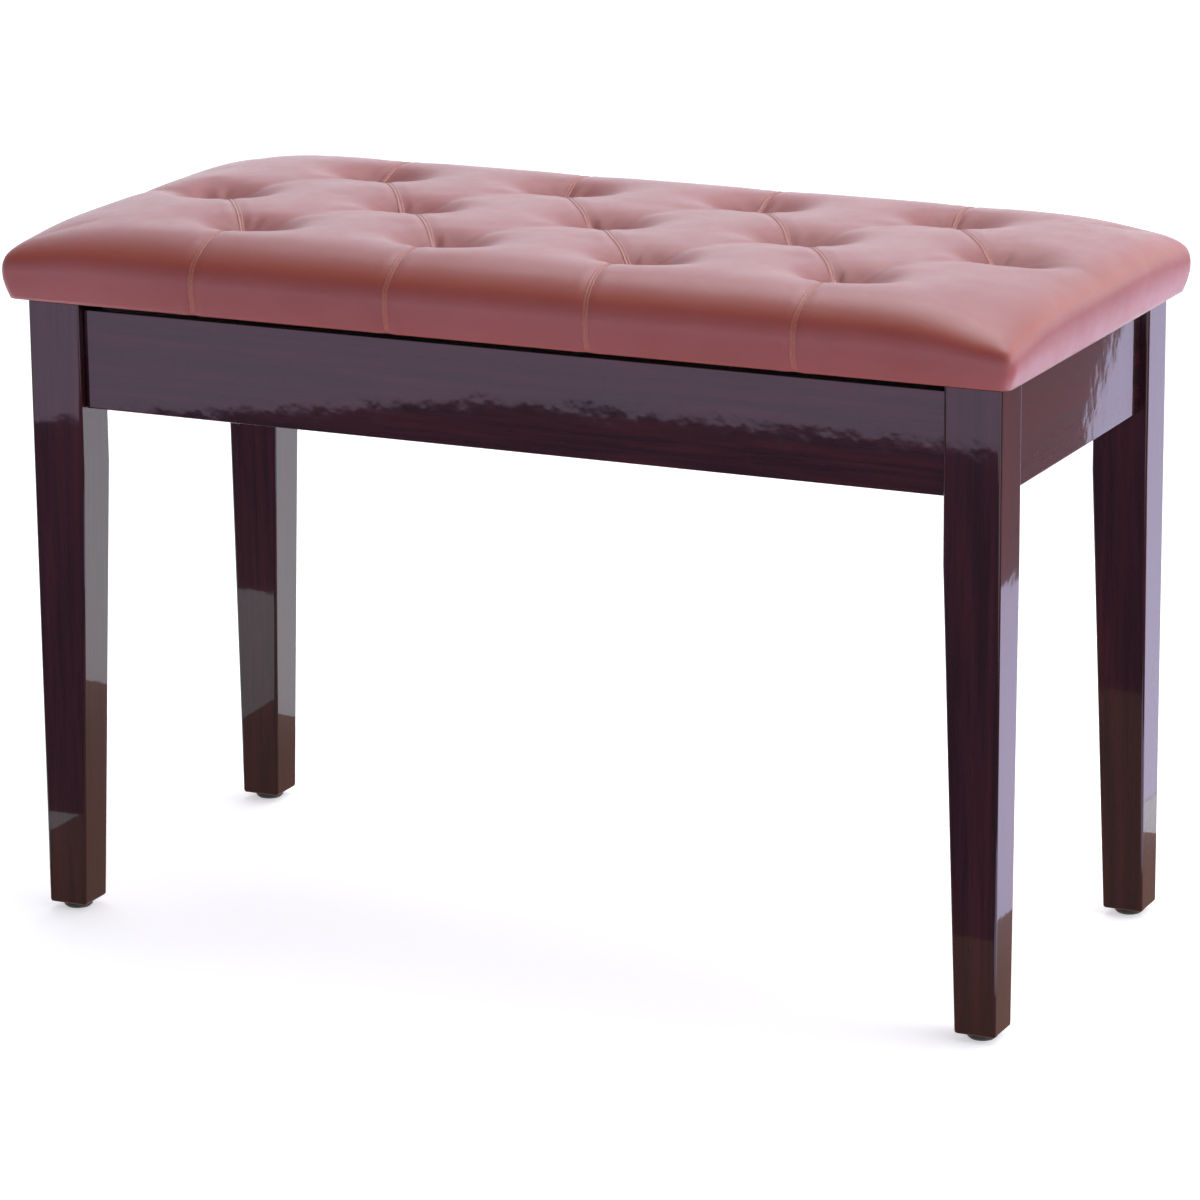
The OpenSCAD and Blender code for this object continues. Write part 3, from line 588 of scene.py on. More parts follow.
@dataclass
class Row:
    """A row of equal small pieces, placed by Geometry Nodes on points with their own directions."""

    name: str
    kind: Repeat
    length: float
    radius: float
    leg: float
    material: bpy.types.Material
    wobble: float = 0.06
    seed: int = 7
    places: list[tuple[Vector, Vector, Vector]] = field(default_factory=list)

    def add(self, place: Vector, along: Vector, up: Vector) -> None:
        """Adds a place.

        Args:
            place: Where the unit stands.
            along: The direction of its length.
            up: The direction of its upper side.
        """
        self.places.append((Vector(place), Vector(along).normalized(), Vector(up).normalized()))

    def build(self) -> bpy.types.Object:
        """Makes the row as one plain mesh.

        Returns:
            The object.
        """
        mesh = bpy.data.meshes.new(self.name)
        mesh.from_pydata([tuple(p) for p, _, _ in self.places], [], [])
        for column, name in ((1, "along"), (2, "up")):
            values = mesh.attributes.new(name, "FLOAT_VECTOR", "POINT")
            values.data.foreach_set("vector", [c for row in self.places for c in row[column]])
        piece = bpy.data.objects.new(self.name, mesh)
        bpy.context.scene.collection.objects.link(piece)
        modifier = piece.modifiers.new("row", "NODES")
        modifier.node_group = self.tree()
        sizes = {"Length": self.length, "Radius": self.radius, "Leg": self.leg, "Wobble": self.wobble,
                 "Seed": self.seed, "Material": self.material}
        for item in modifier.node_group.interface.items_tree:
            if item.name in sizes:
                modifier[item.identifier] = sizes[item.name]
        baked(piece)
        for name in ("along", "up"):
            if name in piece.data.attributes:
                piece.data.attributes.remove(piece.data.attributes[name])
        bpy.data.node_groups.remove(bpy.data.node_groups[f"{self.name}_row"])
        return piece

    def tree(self) -> bpy.types.NodeTree:
        """Builds the node tree: one unit, placed on every point, realized and given its material.

        Returns:
            The tree.
        """
        group = bpy.data.node_groups.new(f"{self.name}_row", "GeometryNodeTree")
        sockets = (("Geometry", "Geometry"), ("Length", "Float"), ("Radius", "Float"), ("Leg", "Float"),
                   ("Wobble", "Float"), ("Seed", "Int"), ("Material", "Material"))
        for name, kind in sockets:
            group.interface.new_socket(name=name, in_out="INPUT", socket_type=f"NodeSocket{kind}")
        group.interface.new_socket(name="Geometry", in_out="OUTPUT", socket_type="NodeSocketGeometry")
        nodes = Nodes(group)
        given = nodes.add("NodeGroupInput")
        unit = self.stitch(nodes, given) if self.kind is Repeat.STITCH else self.staple(nodes, given)
        placed = nodes.add("GeometryNodeInstanceOnPoints", {
            "Points": given.outputs["Geometry"], "Instance": unit, "Rotation": self.turned(nodes, given)})
        real = nodes.add("GeometryNodeRealizeInstances", {0: placed.outputs[0]})
        painted = nodes.add("GeometryNodeSetMaterial", {
            "Geometry": real.outputs[0], "Material": given.outputs["Material"]})
        nodes.add("NodeGroupOutput", {0: painted.outputs[0]})
        return group

    def turned(self, nodes: Nodes, given: bpy.types.Node) -> bpy.types.NodeSocket:
        """Each unit's turn: its own direction, and a small wobble about its upper side.

        Args:
            nodes: The tree.
            given: The tree's inputs.

        Returns:
            The rotation.
        """
        up, along = [
            nodes.add("GeometryNodeInputNamedAttribute", {"Name": name}, data_type="FLOAT_VECTOR")
            for name in ("up", "along")]
        turn = nodes.add("FunctionNodeAxesToRotation", {
            "Primary Axis": up.outputs["Attribute"], "Secondary Axis": along.outputs["Attribute"]},
            primary_axis="Z", secondary_axis="X")
        wobble = given.outputs["Wobble"]
        chance = nodes.add("FunctionNodeRandomValue", {"Seed": given.outputs["Seed"]}, data_type="FLOAT")
        least, most = [socket for socket in chance.inputs if socket.type == "VALUE"][:2]
        nodes.feed(least, nodes.math("MULTIPLY", wobble, -1.0))
        nodes.feed(most, wobble)
        drawn = next(socket for socket in chance.outputs if socket.type == "VALUE")
        spin = nodes.add("ShaderNodeCombineXYZ", {"Z": drawn})
        euler = nodes.add("FunctionNodeEulerToRotation", {0: spin.outputs[0]})
        both = nodes.add("FunctionNodeRotateRotation", {0: turn.outputs[0], 1: euler.outputs[0]},
                         rotation_space="LOCAL")
        return both.outputs[0]

    def stitch(self, nodes: Nodes, given: bpy.types.Node) -> bpy.types.NodeSocket:
        """The unit of a stitch: a slim grain of thread.

        Args:
            nodes: The tree.
            given: The tree's inputs.

        Returns:
            The unit.
        """
        ball = nodes.add("GeometryNodeMeshUVSphere", {"Segments": 6, "Rings": 5, "Radius": 1.0})
        half = nodes.math("MULTIPLY", given.outputs["Length"], 0.5)
        radius = given.outputs["Radius"]
        size = nodes.add("ShaderNodeCombineXYZ", {"X": half, "Y": radius, "Z": radius})
        shaped = nodes.add("GeometryNodeTransform", {
            "Geometry": ball.outputs["Mesh"], "Scale": size.outputs[0]})
        return shaped.outputs["Geometry"]

    def staple(self, nodes: Nodes, given: bpy.types.Node) -> bpy.types.NodeSocket:
        """The unit of a staple: a wire crown with its two legs going in.

        Args:
            nodes: The tree.
            given: The tree's inputs.

        Returns:
            The unit.
        """
        line = nodes.add("GeometryNodeMeshLine", {"Count": 4})
        number = nodes.add("GeometryNodeInputIndex").outputs[0]
        from_middle = nodes.math("SUBTRACT", number, 1.5)
        half = nodes.math("MULTIPLY", given.outputs["Length"], 0.5)
        across = nodes.math("MULTIPLY", nodes.math("SIGN", from_middle), half)
        outer = nodes.math("GREATER_THAN", nodes.math("ABSOLUTE", from_middle), 1.0)
        down = nodes.math("MULTIPLY", nodes.math("MULTIPLY", outer, given.outputs["Leg"]), -1.0)
        spot = nodes.add("ShaderNodeCombineXYZ", {"X": across, "Z": down})
        bent = nodes.add("GeometryNodeSetPosition", {
            "Geometry": line.outputs[0], "Position": spot.outputs[0]})
        path = nodes.add("GeometryNodeMeshToCurve", {0: bent.outputs[0]})
        ring = nodes.add("GeometryNodeCurvePrimitiveCircle", {
            "Resolution": 6, "Radius": given.outputs["Radius"]})
        wire = nodes.add("GeometryNodeCurveToMesh", {
            "Curve": path.outputs[0], "Profile Curve": ring.outputs[0], "Fill Caps": True})
        return wire.outputs[0]


# ---------------------------------------------------------------- lacquered frame


@dataclass
class LacqueredFrame:
    """Four tapered legs and four aprons, with eased edges under the lacquer."""

    palette: Palette
    leg_top: tuple[float, float] = (0.041, 0.038)
    leg_foot: tuple[float, float] = (0.030, 0.031)
    taper_drop: float = 0.045
    leg_ease: float = 0.0022
    apron_ease: float = 0.0011
    groove: tuple[float, float, float] = (0.006, 0.005, 0.007)

    def build(self) -> None:
        """Builds and dresses the legs and the aprons."""
        for x_name, side_x in (("left", Side.MINUS), ("right", Side.PLUS)):
            for y_name, side_y in (("front", Side.MINUS), ("rear", Side.PLUS)):
                self.leg(f"leg_{y_name}_{x_name}", side_x.value, side_y.value)
            self.apron(f"{x_name}_apron", Grain.FRONT_TO_BACK, side_x.value)
        self.apron("front_apron", Grain.ALONG_BENCH, Side.MINUS.value)
        self.apron("rear_apron", Grain.ALONG_BENCH, Side.PLUS.value)

    def leg(self, node: str, side_x: int, side_y: int) -> None:
        """Builds one leg: its outer faces are upright, its inner faces taper to the foot.

        Args:
            node: The CAD node that it stands for.
            side_x: -1 at the left end, 1 at the right end.
            side_y: -1 at the front, 1 at the rear.
        """
        low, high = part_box(node)
        outer_x = high.x if side_x > 0 else low.x
        outer_y = high.y if side_y > 0 else low.y
        taper_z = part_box("front_apron")[0].z - self.taper_drop
        points: list[tuple[float, float, float]] = []
        for z, (w, d) in ((low.z, self.leg_foot), (taper_z, self.leg_top), (high.z, self.leg_top)):
            for x, y in ((0.0, 0.0), (w, 0.0), (w, d), (0.0, d)):
                points.append((outer_x - side_x * x, outer_y - side_y * y, z))
        faces = [[0, 1, 2, 3], [8, 9, 10, 11]]
        faces += [[r + i, r + (i + 1) % 4, r + 4 + (i + 1) % 4, r + 4 + i] for r in (0, 4) for i in range(4)]
        piece = mesh_piece(f"{node}_lacquered", points, faces, self.palette.lacquer[Grain.UPRIGHT])
        eased(piece, self.leg_ease)
        tie(piece, "frame", "dark_lacquer", node)

    def apron(self, node: str, grain: Grain, side: int) -> None:
        """Builds one apron, with the groove for the compartment's floor in its inner face.

        Args:
            node: The CAD node that it stands for.
            grain: The way that its grain and its length run.
            side: -1 or 1, the side of the bench that it closes.
        """
        low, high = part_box(node)
        lift, gap, depth = self.groove
        across = 1 if grain is Grain.ALONG_BENCH else 0
        outer = high[across] if side > 0 else low[across]
        inner = low[across] if side > 0 else high[across]
        bottom = inner + side * depth
        sill = low.z + lift
        outline = [(outer, low.z), (outer, high.z), (inner, high.z), (inner, sill + gap),
                   (bottom, sill + gap), (bottom, sill), (inner, sill), (inner, low.z)]
        ends = (low[1 - across], high[1 - across])
        points = [(end, v, z) if across == 1 else (v, end, z) for end in ends for v, z in outline]
        count = len(outline)
        faces = [list(range(count)), list(range(count, 2 * count))]
        faces += [[i, (i + 1) % count, count + (i + 1) % count, count + i] for i in range(count)]
        piece = mesh_piece(f"{node}_lacquered", points, faces, self.palette.lacquer[grain])
        eased(piece, self.apron_ease, 2)
        tie(piece, "frame", "dark_lacquer", node)


# ---------------------------------------------------------------- upholstered seat


@dataclass
class Cushion:
    """The upholstered seat: foam under faux leather, drawn down by tufts and stretched over the board's edge.

    The leather is laid out as a flat grid, wrapped over the seat, blown up a little as cloth between the
    tufts, creased along its seams and closed round the board.
    """

    palette: Palette
    step: float = 0.0052
    edge_height: float = 0.045
    anchor_radius: float = 0.008
    over_twine: float = 0.0008
    top_round: float = 0.015
    corner_round: float = 0.007
    corner_fade: float = 0.030
    rim_fade: float = 0.012
    bulge: float = 0.004
    rim_bulge: float = 0.866
    crown_share: float = 0.66
    crown_along: int = 9
    crown_across: int = 12
    leather: float = 0.0012
    margin: float = 0.030
    puff: float = 0.0008
    puff_reach: float = 0.020
    pit_reach: float = 0.0235
    pit_stretch: float = 1.5
    pit_shift: float = 0.007
    pit_steep: float = 3.2
    pit_share: float = 0.64
    pit_core: float = 0.007
    fold_depth: float = 0.0046
    fold_reach: float = 0.0056
    fold_length: float = 0.048
    corner_drop: float = 0.0070
    loose_corner_drop: float = 0.0150
    corner_reach: float = 0.046
    swell_cap: float = 0.004
    moments: int = 20
    held_reach: float = 0.0065
    seam_sink: tuple[float, float] = (0.0007, 0.0042)
    seam_welt: tuple[float, float, float] = (0.0003, 0.0035, 0.0078)
    seam_bow: float = 0.0022
    seam_step: float = 0.0012
    gather_height: float = 0.0011
    gather_width: float = 0.0085
    # where the painted sheen falls on the leather: the normal's upward tilt at its middle and its spread, and
    # the sheen's strongest share
    bend_tilt: tuple[float, float] = (0.62, 0.24)
    bend_most: float = 0.75
    seed: int = 11

    def __post_init__(self) -> None:
        """Reads the seat's sizes and the tufts' places from the frame."""
        low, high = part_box("seat_cover")
        self.half = np.array([high.x - self.bulge, high.y - self.bulge])
        self.bottom = low.z
        self.top = high.z
        self.board_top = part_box("seat_board")[1].z
        self.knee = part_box("dust_cover")[0].z + self.edge_height - self.top_round
        anchors_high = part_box("tuft_anchors")[1]
        self.row_gap = anchors_high.y - self.anchor_radius
        self.pitch = (anchors_high.x - self.anchor_radius) / 2.0
        self.pit_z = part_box("tuft_twines")[1].z + self.over_twine
        outer = [(i - 1.5) * self.pitch for i in range(4)]
        self.front = [np.array([x, -self.row_gap]) for x in outer]
        self.rear = [np.array([x, self.row_gap]) for x in outer]
        self.middle = [np.array([(i - 2) * self.pitch, 0.0]) for i in range(5)]
        self.tufts = self.front + self.middle + self.rear
        self.arc = self.top_round * math.pi / 2.0
        self.sheet = self.half - self.top_round + self.arc

    # -- layout of seams and folds, as lines seen from above

    def seams(self) -> list[list[np.ndarray]]:
        """Sewn lines: each runs slantwise from tuft to tuft and down the rear or the front edge, or both.

        Returns:
            For each line, its points on the flat leather.
        """
        lines = []
        for rear, middle in zip(self.rear, self.middle[1:]):
            index = len(lines) + 1
            line = [np.array([rear[0], self.sheet[1]]), rear, middle]
            if index < 4:
                line += [self.front[index], np.array([self.front[index][0], -self.sheet[1]])]
            lines.append(line)
        first = self.front[0]
        lines.append([self.middle[0], first, np.array([first[0], -self.sheet[1]])])
        return lines

    def folds(self) -> list[tuple[np.ndarray, np.ndarray]]:
        """Soft unsewn folds: the other slants between the tufts, and one from the outer tufts to each end.

        Returns:
            The two ends of each fold.
        """
        pairs = [(self.front[i], self.middle[i + 1]) for i in range(4)]
        pairs += [(self.middle[i], self.rear[i]) for i in range(4)]
        return pairs + [(tuft, np.array([math.copysign(self.half[0], tuft[0]), 0.0]))
                        for tuft in (self.middle[0], self.middle[-1])]

    # -- the wrapped sheet

    def on_ring(self, plan: np.ndarray, half: np.ndarray, radius: np.ndarray) -> np.ndarray:
        """Rounds the corners of rings seen from above.

        Args:
            plan: Points, as rows of x and y.
            half: Half sizes of each point's ring, as rows.
            radius: Corner radius of each point's ring.

        Returns:
            The rounded points.
        """
        r = radius[:, None]
        core = np.maximum(half - r, 1e-6)
        inner = np.clip(plan, -core, core)
        out = plan - inner
        length = np.linalg.norm(out, axis=1, keepdims=True)
        reach = np.max(np.abs(out), axis=1, keepdims=True)
        corner = (np.min(np.abs(out), axis=1, keepdims=True) > 1e-9) & (length > 1e-9)
        return np.where(corner, inner + out * reach / np.maximum(length, 1e-9), plan)

    def height(self, plan: np.ndarray) -> np.ndarray:
        """Height of the padded top over its rim, before the cloth is blown up.

        Args:
            plan: Points, as rows of x and y.

        Returns:
            Heights, in metres.
        """
        share = np.abs(plan) / self.half
        rise = self.top - self.knee - self.top_round
        crown = (1.0 - share[:, 0] ** self.crown_along) * (1.0 - share[:, 1] ** self.crown_across)
        near = np.full(len(plan), 1.0)
        for first, last in self.lines():
            near = np.minimum(near, distance_to_line(plan, first, last))
        z = self.crown_share * rise * crown + self.puff * (1.0 - np.exp(-((near / self.puff_reach) ** 2)))
        to_tuft = np.min([np.linalg.norm(plan - tuft, axis=1) for tuft in self.tufts], axis=0)
        fading = np.exp(-((to_tuft / self.fold_length) ** 2))
        for first, last in self.folds():
            away = distance_to_line(plan, first, last)
            z -= self.fold_depth * fading * np.exp(-((away / self.fold_reach) ** 2))
        full = self.knee + self.top_round + z
        for tuft in self.tufts:
            core = np.exp(-np.linalg.norm(plan - tuft, axis=1) / self.pit_core)
            pull = self.pit_share * self.hollow(plan, tuft) + (1.0 - self.pit_share) * core
            full = full + (self.pit_z - full) * pull
        return full - self.knee - self.top_round

    def hollow(self, plan: np.ndarray, tuft: np.ndarray) -> np.ndarray:
        """How deep points lie in the wide hollow round a tuft.

        Args:
            plan: Points, as rows of x and y.
            tuft: The tuft's place.

        Returns:
            Shares of the depth, from 0 far away to 1 in the middle.
        """
        far = np.linalg.norm((plan - tuft - (self.pit_shift, 0.0)) / (self.pit_stretch, 1.0), axis=1)
        return np.exp(-((far / self.pit_reach) ** self.pit_steep))

    def droop(self, plan: np.ndarray) -> np.ndarray:
        """How far the padding gives way at the corners; the front right one is the softest.

        Args:
            plan: Points, as rows of x and y.

        Returns:
            Depths, in metres.
        """
        to_corner = np.linalg.norm(self.half - np.abs(plan), axis=1)
        loose = (plan[:, 0] > 0.0) & (plan[:, 1] < 0.0)
        depth = np.where(loose, self.loose_corner_drop, self.corner_drop)
        return depth * np.exp(-((to_corner / self.corner_reach) ** 2))

    def lines(self) -> list[tuple[np.ndarray, np.ndarray]]:
        """Every seam and fold on the top as straight stretches.

        Returns:
            The two ends of each stretch.
        """
        stretches = list(self.folds())
        for line in self.seams():
            stretches += list(zip(line[:-1], line[1:]))
        return stretches

    def wrap(self) -> bpy.types.Object:
        """Makes the leather's outer face: the top, its rounded rim and the sides, open below.

        Returns:
            The sheet as an object.
        """
        counts = [int(round(2.0 * s / self.step)) + 1 for s in self.sheet]
        a, b = np.meshgrid(*[np.linspace(-s, s, n) for s, n in zip(self.sheet, counts)], indexing="ij")
        flat = np.stack([a.ravel(), b.ravel()], axis=1)
        deep = np.min(self.sheet - np.abs(flat), axis=1)
        angle = np.minimum(deep / self.top_round, math.pi / 2.0)
        on_rim = deep < self.arc
        inward = np.where(on_rim, self.top_round * (1.0 - np.cos(angle)), self.top_round + deep - self.arc)
        out = self.rim_bulge * self.bulge * np.cos(angle) ** 2
        ring = self.sheet - deep[:, None]
        target = self.half - inward[:, None] + out[:, None]
        plan = np.where(ring > 1e-9, flat / np.maximum(ring, 1e-9) * target, flat)
        radius = self.corner_round * (1.0 - smooth_step((deep - self.arc) / self.corner_fade)) + 1e-5
        plan = self.on_ring(plan, target, radius)
        weight = smooth_step(deep / (self.arc + self.rim_fade))
        z = self.knee + self.top_round * np.sin(angle) + weight * self.height(plan)
        points = [np.column_stack([plan, z])]
        nx, ny = counts
        index = np.arange(nx * ny).reshape(nx, ny)
        rim = grid_rim(index)
        faces = grid_faces(index) + self.sides(points, flat[rim] / self.sheet, rim, nx * ny)
        shape = np.concatenate(points)
        shape[:, 2] -= self.droop(shape[:, :2]) * (shape[:, 2] - self.bottom) / (self.top - self.bottom)
        return mesh_piece("seat_cushion", shape, faces, self.palette.leather)

    def sides(self, points: list[np.ndarray], share: np.ndarray, rim: np.ndarray,
              first: int) -> list[list[int]]:
        """Adds the sides below the rim, down to the lower edge.

        Args:
            points: Blocks of points, to which the sides' rings are added.
            share: Places of the rim's points, as shares of the half sizes.
            rim: Numbers of the rim's points.
            first: Number of the next new point.

        Returns:
            The faces.
        """
        height = self.knee - self.bottom
        levels = int(round(height / self.step))
        above = rim
        faces: list[list[int]] = []
        here = np.arange(len(rim))
        following = np.roll(here, -1)
        radius = np.full(len(rim), self.corner_round)
        for level in range(1, levels + 1):
            z = self.bottom + height * (1.0 - level / levels)
            out = self.bulge * math.sin(math.radians(120.0) * (z - self.bottom) / height)
            half = self.half + out
            ring = self.on_ring(share * half, np.tile(half, (len(rim), 1)), radius)
            points.append(np.column_stack([ring, np.full(len(rim), z)]))
            below = first + here
            faces += [[above[i], above[j], below[j], below[i]] for i, j in zip(here, following)]
            above, first = below, first + len(rim)
        return faces

    # -- blown up as cloth

    def swell(self, piece: bpy.types.Object) -> None:
        """Blows the leather up a little as cloth that is held at the tufts and round the lower edge.

        Args:
            piece: The wrapped sheet.
        """
        start = vertex_rows(piece.data)
        held = np.clip(1.0 - (start[:, 2] - self.bottom) / (self.knee - self.bottom), 0.0, 1.0) ** 0.5
        for tuft in self.tufts:
            far = np.linalg.norm(start[:, :2] - tuft, axis=1)
            held = np.maximum(held, np.clip(1.25 - far / self.held_reach, 0.0, 1.0))
        group = piece.vertex_groups.new(name="held")
        for index, weight in enumerate(held):
            if weight > 0.0:
                group.add([index], float(weight), "REPLACE")
        cloth = piece.modifiers.new("cloth", "CLOTH")
        rules = {"quality": 6, "mass": 0.35, "tension_stiffness": 22.0, "compression_stiffness": 14.0,
                 "shear_stiffness": 9.0, "bending_stiffness": 0.7, "vertex_group_mass": "held",
                 "pin_stiffness": 1.0, "use_pressure": True, "uniform_pressure_force": 2.5}
        for name, value in rules.items():
            setattr(cloth.settings, name, value)
        cloth.settings.effector_weights.gravity = 0.0
        cloth.collision_settings.use_collision = False
        cloth.point_cache.frame_start = 1
        cloth.point_cache.frame_end = self.moments
        scene = bpy.context.scene
        for moment in range(1, self.moments + 1):
            scene.frame_set(moment)
        baked(piece)
        scene.frame_set(1)
        move = vertex_rows(piece.data) - start
        length = np.linalg.norm(move, axis=1, keepdims=True)
        allowed = self.swell_cap * np.tanh(length / self.swell_cap)
        move *= allowed / np.maximum(length, 1e-9)
        moved = start + move
        moved[:, 2] = np.minimum(moved[:, 2], self.top - 0.0004)
        piece.data.vertices.foreach_set("co", moved.ravel())
        piece.data.update()
        LOG.info("cloth moved by %.1f mm at most", 1000.0 * float(length.max()))

    # -- seams and creases

    def crease(self, piece: bpy.types.Object) -> list[list[tuple[Vector, Vector]]]:
        """Presses the seams into the leather and adds the gathers round the tufts.

        Args:
            piece: The fine mesh.

        Returns:
            Each seam's line on the leather, as points with their normals.
        """
        routes = self.routes(piece)
        tree = KDTree(sum(len(r) for r in routes))
        for number, (place, _) in enumerate(p for r in routes for p in r):
            tree.insert(place, number)
        tree.balance()
        points = vertex_rows(piece.data)
        normals = vertex_rows(piece.data, "normal")
        near = np.array([tree.find(p)[2] for p in points])
        depth, reach = self.seam_sink
        height, width, away = self.seam_welt
        sink = depth * np.exp(-((near / reach) ** 2)) - height * np.exp(-(((near - away) / width) ** 2))
        points = points - normals * sink[:, None]
        points[:, 2] += self.gathers(points)
        piece.data.vertices.foreach_set("co", points.ravel())
        piece.data.update()
        return self.routes(piece)

    def gathers(self, points: np.ndarray) -> np.ndarray:
        """Small radial gathers round every tuft, as changes of height.

        Args:
            points: Points of the leather.

        Returns:
            A change of height for each point.
        """
        chance = np.random.default_rng(self.seed)
        change = np.zeros(len(points))
        for tuft in self.tufts:
            offset = points[:, :2] - tuft
            far = np.linalg.norm(offset, axis=1)
            bearing = np.arctan2(offset[:, 1], offset[:, 0])
            for lobes, share in ((5, 0.5), (8, 0.45), (13, 0.3)):
                phase = chance.uniform(0.0, 2.0 * math.pi)
                reach = chance.uniform(0.011, 0.017)
                wave = np.cos(lobes * bearing + phase)
                fading = np.exp(-(((far - reach) / self.gather_width) ** 2))
                change += self.gather_height * share * wave * fading
        return np.where(points[:, 2] > self.knee + 0.6 * self.top_round, change, 0.0)

    def routes(self, piece: bpy.types.Object) -> list[list[tuple[Vector, Vector]]]:
        """Lays every seam on the leather.

        Args:
            piece: The leather's mesh.

        Returns:
            For each seam, points with their normals, about 1 mm apart.
        """
        surface = BVHTree.FromObject(piece, bpy.context.evaluated_depsgraph_get())
        routes = []
        for number, line in enumerate(self.seams()):
            route: list[tuple[Vector, Vector]] = []
            for first, last in zip(line[:-1], line[1:]):
                steps = max(2, int(np.linalg.norm(last - first) / self.seam_step))
                across = np.array([last[1] - first[1], first[0] - last[0]])
                across = across / np.linalg.norm(across)
                for i in range(steps):
                    share = i / steps
                    bow = self.seam_bow * math.sin(math.pi * share) * (1.0 if number % 2 else -1.0)
                    route.append(self.laid(surface, first + (last - first) * share + across * bow))
            if self.at_edge(line[-1]):
                route += self.down_side(surface, line[-1])
            if self.at_edge(line[0]):
                route = self.down_side(surface, line[0])[::-1] + route
            routes.append(route)
        return routes

    def at_edge(self, flat: np.ndarray) -> bool:
        """Says whether a point of the flat leather lies on its rim."""
        return float(np.min(self.sheet - np.abs(flat))) < 1e-6

    def laid(self, surface: BVHTree, flat: np.ndarray) -> tuple[Vector, Vector]:
        """A point of the flat leather, found on the seat.

        Args:
            surface: The leather, ready to be searched.
            flat: The point's place on the flat leather.

        Returns:
            Its place on the seat, and the leather's normal there.
        """
        deep = float(np.min(self.sheet - np.abs(flat)))
        angle = min(deep / self.top_round, math.pi / 2.0)
        if deep >= self.arc:
            above = Vector((flat[0], flat[1], self.top + 0.05))
            place, normal, _, _ = surface.ray_cast(above, Vector((0, 0, -1)))
            return place, normal
        target = np.clip(flat, -(self.half - self.top_round), self.half - self.top_round)
        edge = np.abs(flat) > self.half - self.top_round
        out = np.where(edge, np.sign(flat), 0.0)
        reach = self.top_round * math.cos(angle) + self.rim_bulge * self.bulge * math.cos(angle) ** 2
        spot = target + out * reach
        place, normal, _, _ = surface.find_nearest(
            Vector((spot[0], spot[1], self.knee + self.top_round * math.sin(angle))))
        return place, normal

    def down_side(self, surface: BVHTree, flat: np.ndarray) -> list[tuple[Vector, Vector]]:
        """A seam's stretch from the rim down to the lower edge.

        Args:
            surface: The leather, ready to be searched.
            flat: Where the seam meets the rim of the flat leather.

        Returns:
            Points with their normals.
        """
        axis = int(np.argmin(self.sheet - np.abs(flat)))
        spot = flat.copy()
        spot[axis] = math.copysign(self.half[axis] + self.bulge, flat[axis])
        count = int((self.knee - self.bottom) / self.seam_step)
        found = []
        for i in range(count):
            z = self.knee - (self.knee - self.bottom) * (i + 0.5) / count
            place, normal, _, _ = surface.find_nearest(Vector((spot[0], spot[1], z)))
            found.append((place, normal))
        return found

    def close(self, piece: bpy.types.Object) -> None:
        """Turns the leather under the board's edge, and closes it round the board.

        Args:
            piece: The fine mesh, open below.
        """
        shape = bmesh.new()
        shape.from_mesh(piece.data)
        edges = [e for e in shape.edges if e.is_boundary]
        hair = 0.00005
        inside = self.leather - hair
        over_board = self.board_top + hair
        turns = ((0.0004, 0.0009), (0.0, 0.0022), (0.0, 0.5 * self.margin), (0.0, self.margin),
                 (inside, self.margin), (inside, inside), (over_board - self.bottom, inside))
        for lift, inset in turns:
            out = bmesh.ops.extrude_edge_only(shape, edges=edges)
            fresh = [v for v in out["geom"] if isinstance(v, bmesh.types.BMVert)]
            edges = [e for e in out["geom"] if isinstance(e, bmesh.types.BMEdge) and e.is_boundary]
            for vert in fresh:
                vert.co = self.inset(vert.co, inset, self.bottom + lift)
        middle = shape.verts.new((0.0, 0.0, over_board))
        for edge in edges:
            shape.faces.new((edge.verts[0], edge.verts[1], middle))
        bmesh.ops.recalc_face_normals(shape, faces=shape.faces[:])
        for face in shape.faces:
            face.smooth = True
        shape.to_mesh(piece.data)
        shape.free()
        piece.data.update()

    def inset(self, point: Vector, inset: float, z: float) -> Vector:
        """Where a point of the outline goes when the outline is drawn in.

        Args:
            point: A point on the seat's outline or on an outline drawn in before.
            inset: How far the new outline lies inside the seat's lower edge.
            z: Its height.

        Returns:
            The point on the new outline.
        """
        least = 0.002
        now = max(abs(point.x) - self.half[0], abs(point.y) - self.half[1])
        old_core = self.half + now - max(self.corner_round + min(now, 0.0), least)
        out = np.array([max(abs(point.x) - old_core[0], 0.0), max(abs(point.y) - old_core[1], 0.0)])
        radius = max(self.corner_round - inset, least)
        core = self.half - inset - radius
        length = float(np.linalg.norm(out))
        lead = out / length if length > 1e-9 else out
        base = np.minimum(np.abs([point.x, point.y]), old_core) / old_core * core
        spot = base + lead * radius
        return Vector((math.copysign(spot[0], point.x), math.copysign(spot[1], point.y), z))

    def mark_bends(self, piece: bpy.types.Object) -> None:
        """Keeps in the mesh where to paint shading on the leather: an orange sheen by how far its normal
        tilts from upright, and shade by how deep it lies in the hollow round a tuft.

        Args:
            piece: The closed cushion.
        """
        plan = vertex_rows(piece.data)[:, :2]
        tilt = vertex_rows(piece.data, "normal")[:, 2]
        middle, spread = self.bend_tilt
        # painted sheen: strongest where the normal's upward tilt is near the middle of the span
        keep_numbers(piece.data, "bend", self.bend_most * np.exp(-(((tilt - middle) / spread) ** 2)))
        # painted shade: a mark for how deep each point lies in the hollows round the tufts
        keep_numbers(piece.data, "pit", sum(self.hollow(plan, tuft) for tuft in self.tufts))

    def build(self) -> None:
        """Builds the cushion, its raised seams and its stitches."""
        piece = self.wrap()
        self.swell(piece)
        finer = piece.modifiers.new("finer", "SUBSURF")
        finer.levels = finer.render_levels = 1
        baked(piece)
        routes = self.crease(piece)
        self.close(piece)
        self.mark_bends(piece)
        tie(piece, "lid", "seat_leather", "seat_cover", "seat_foam")
        self.lips(routes)
        self.stitches(routes)

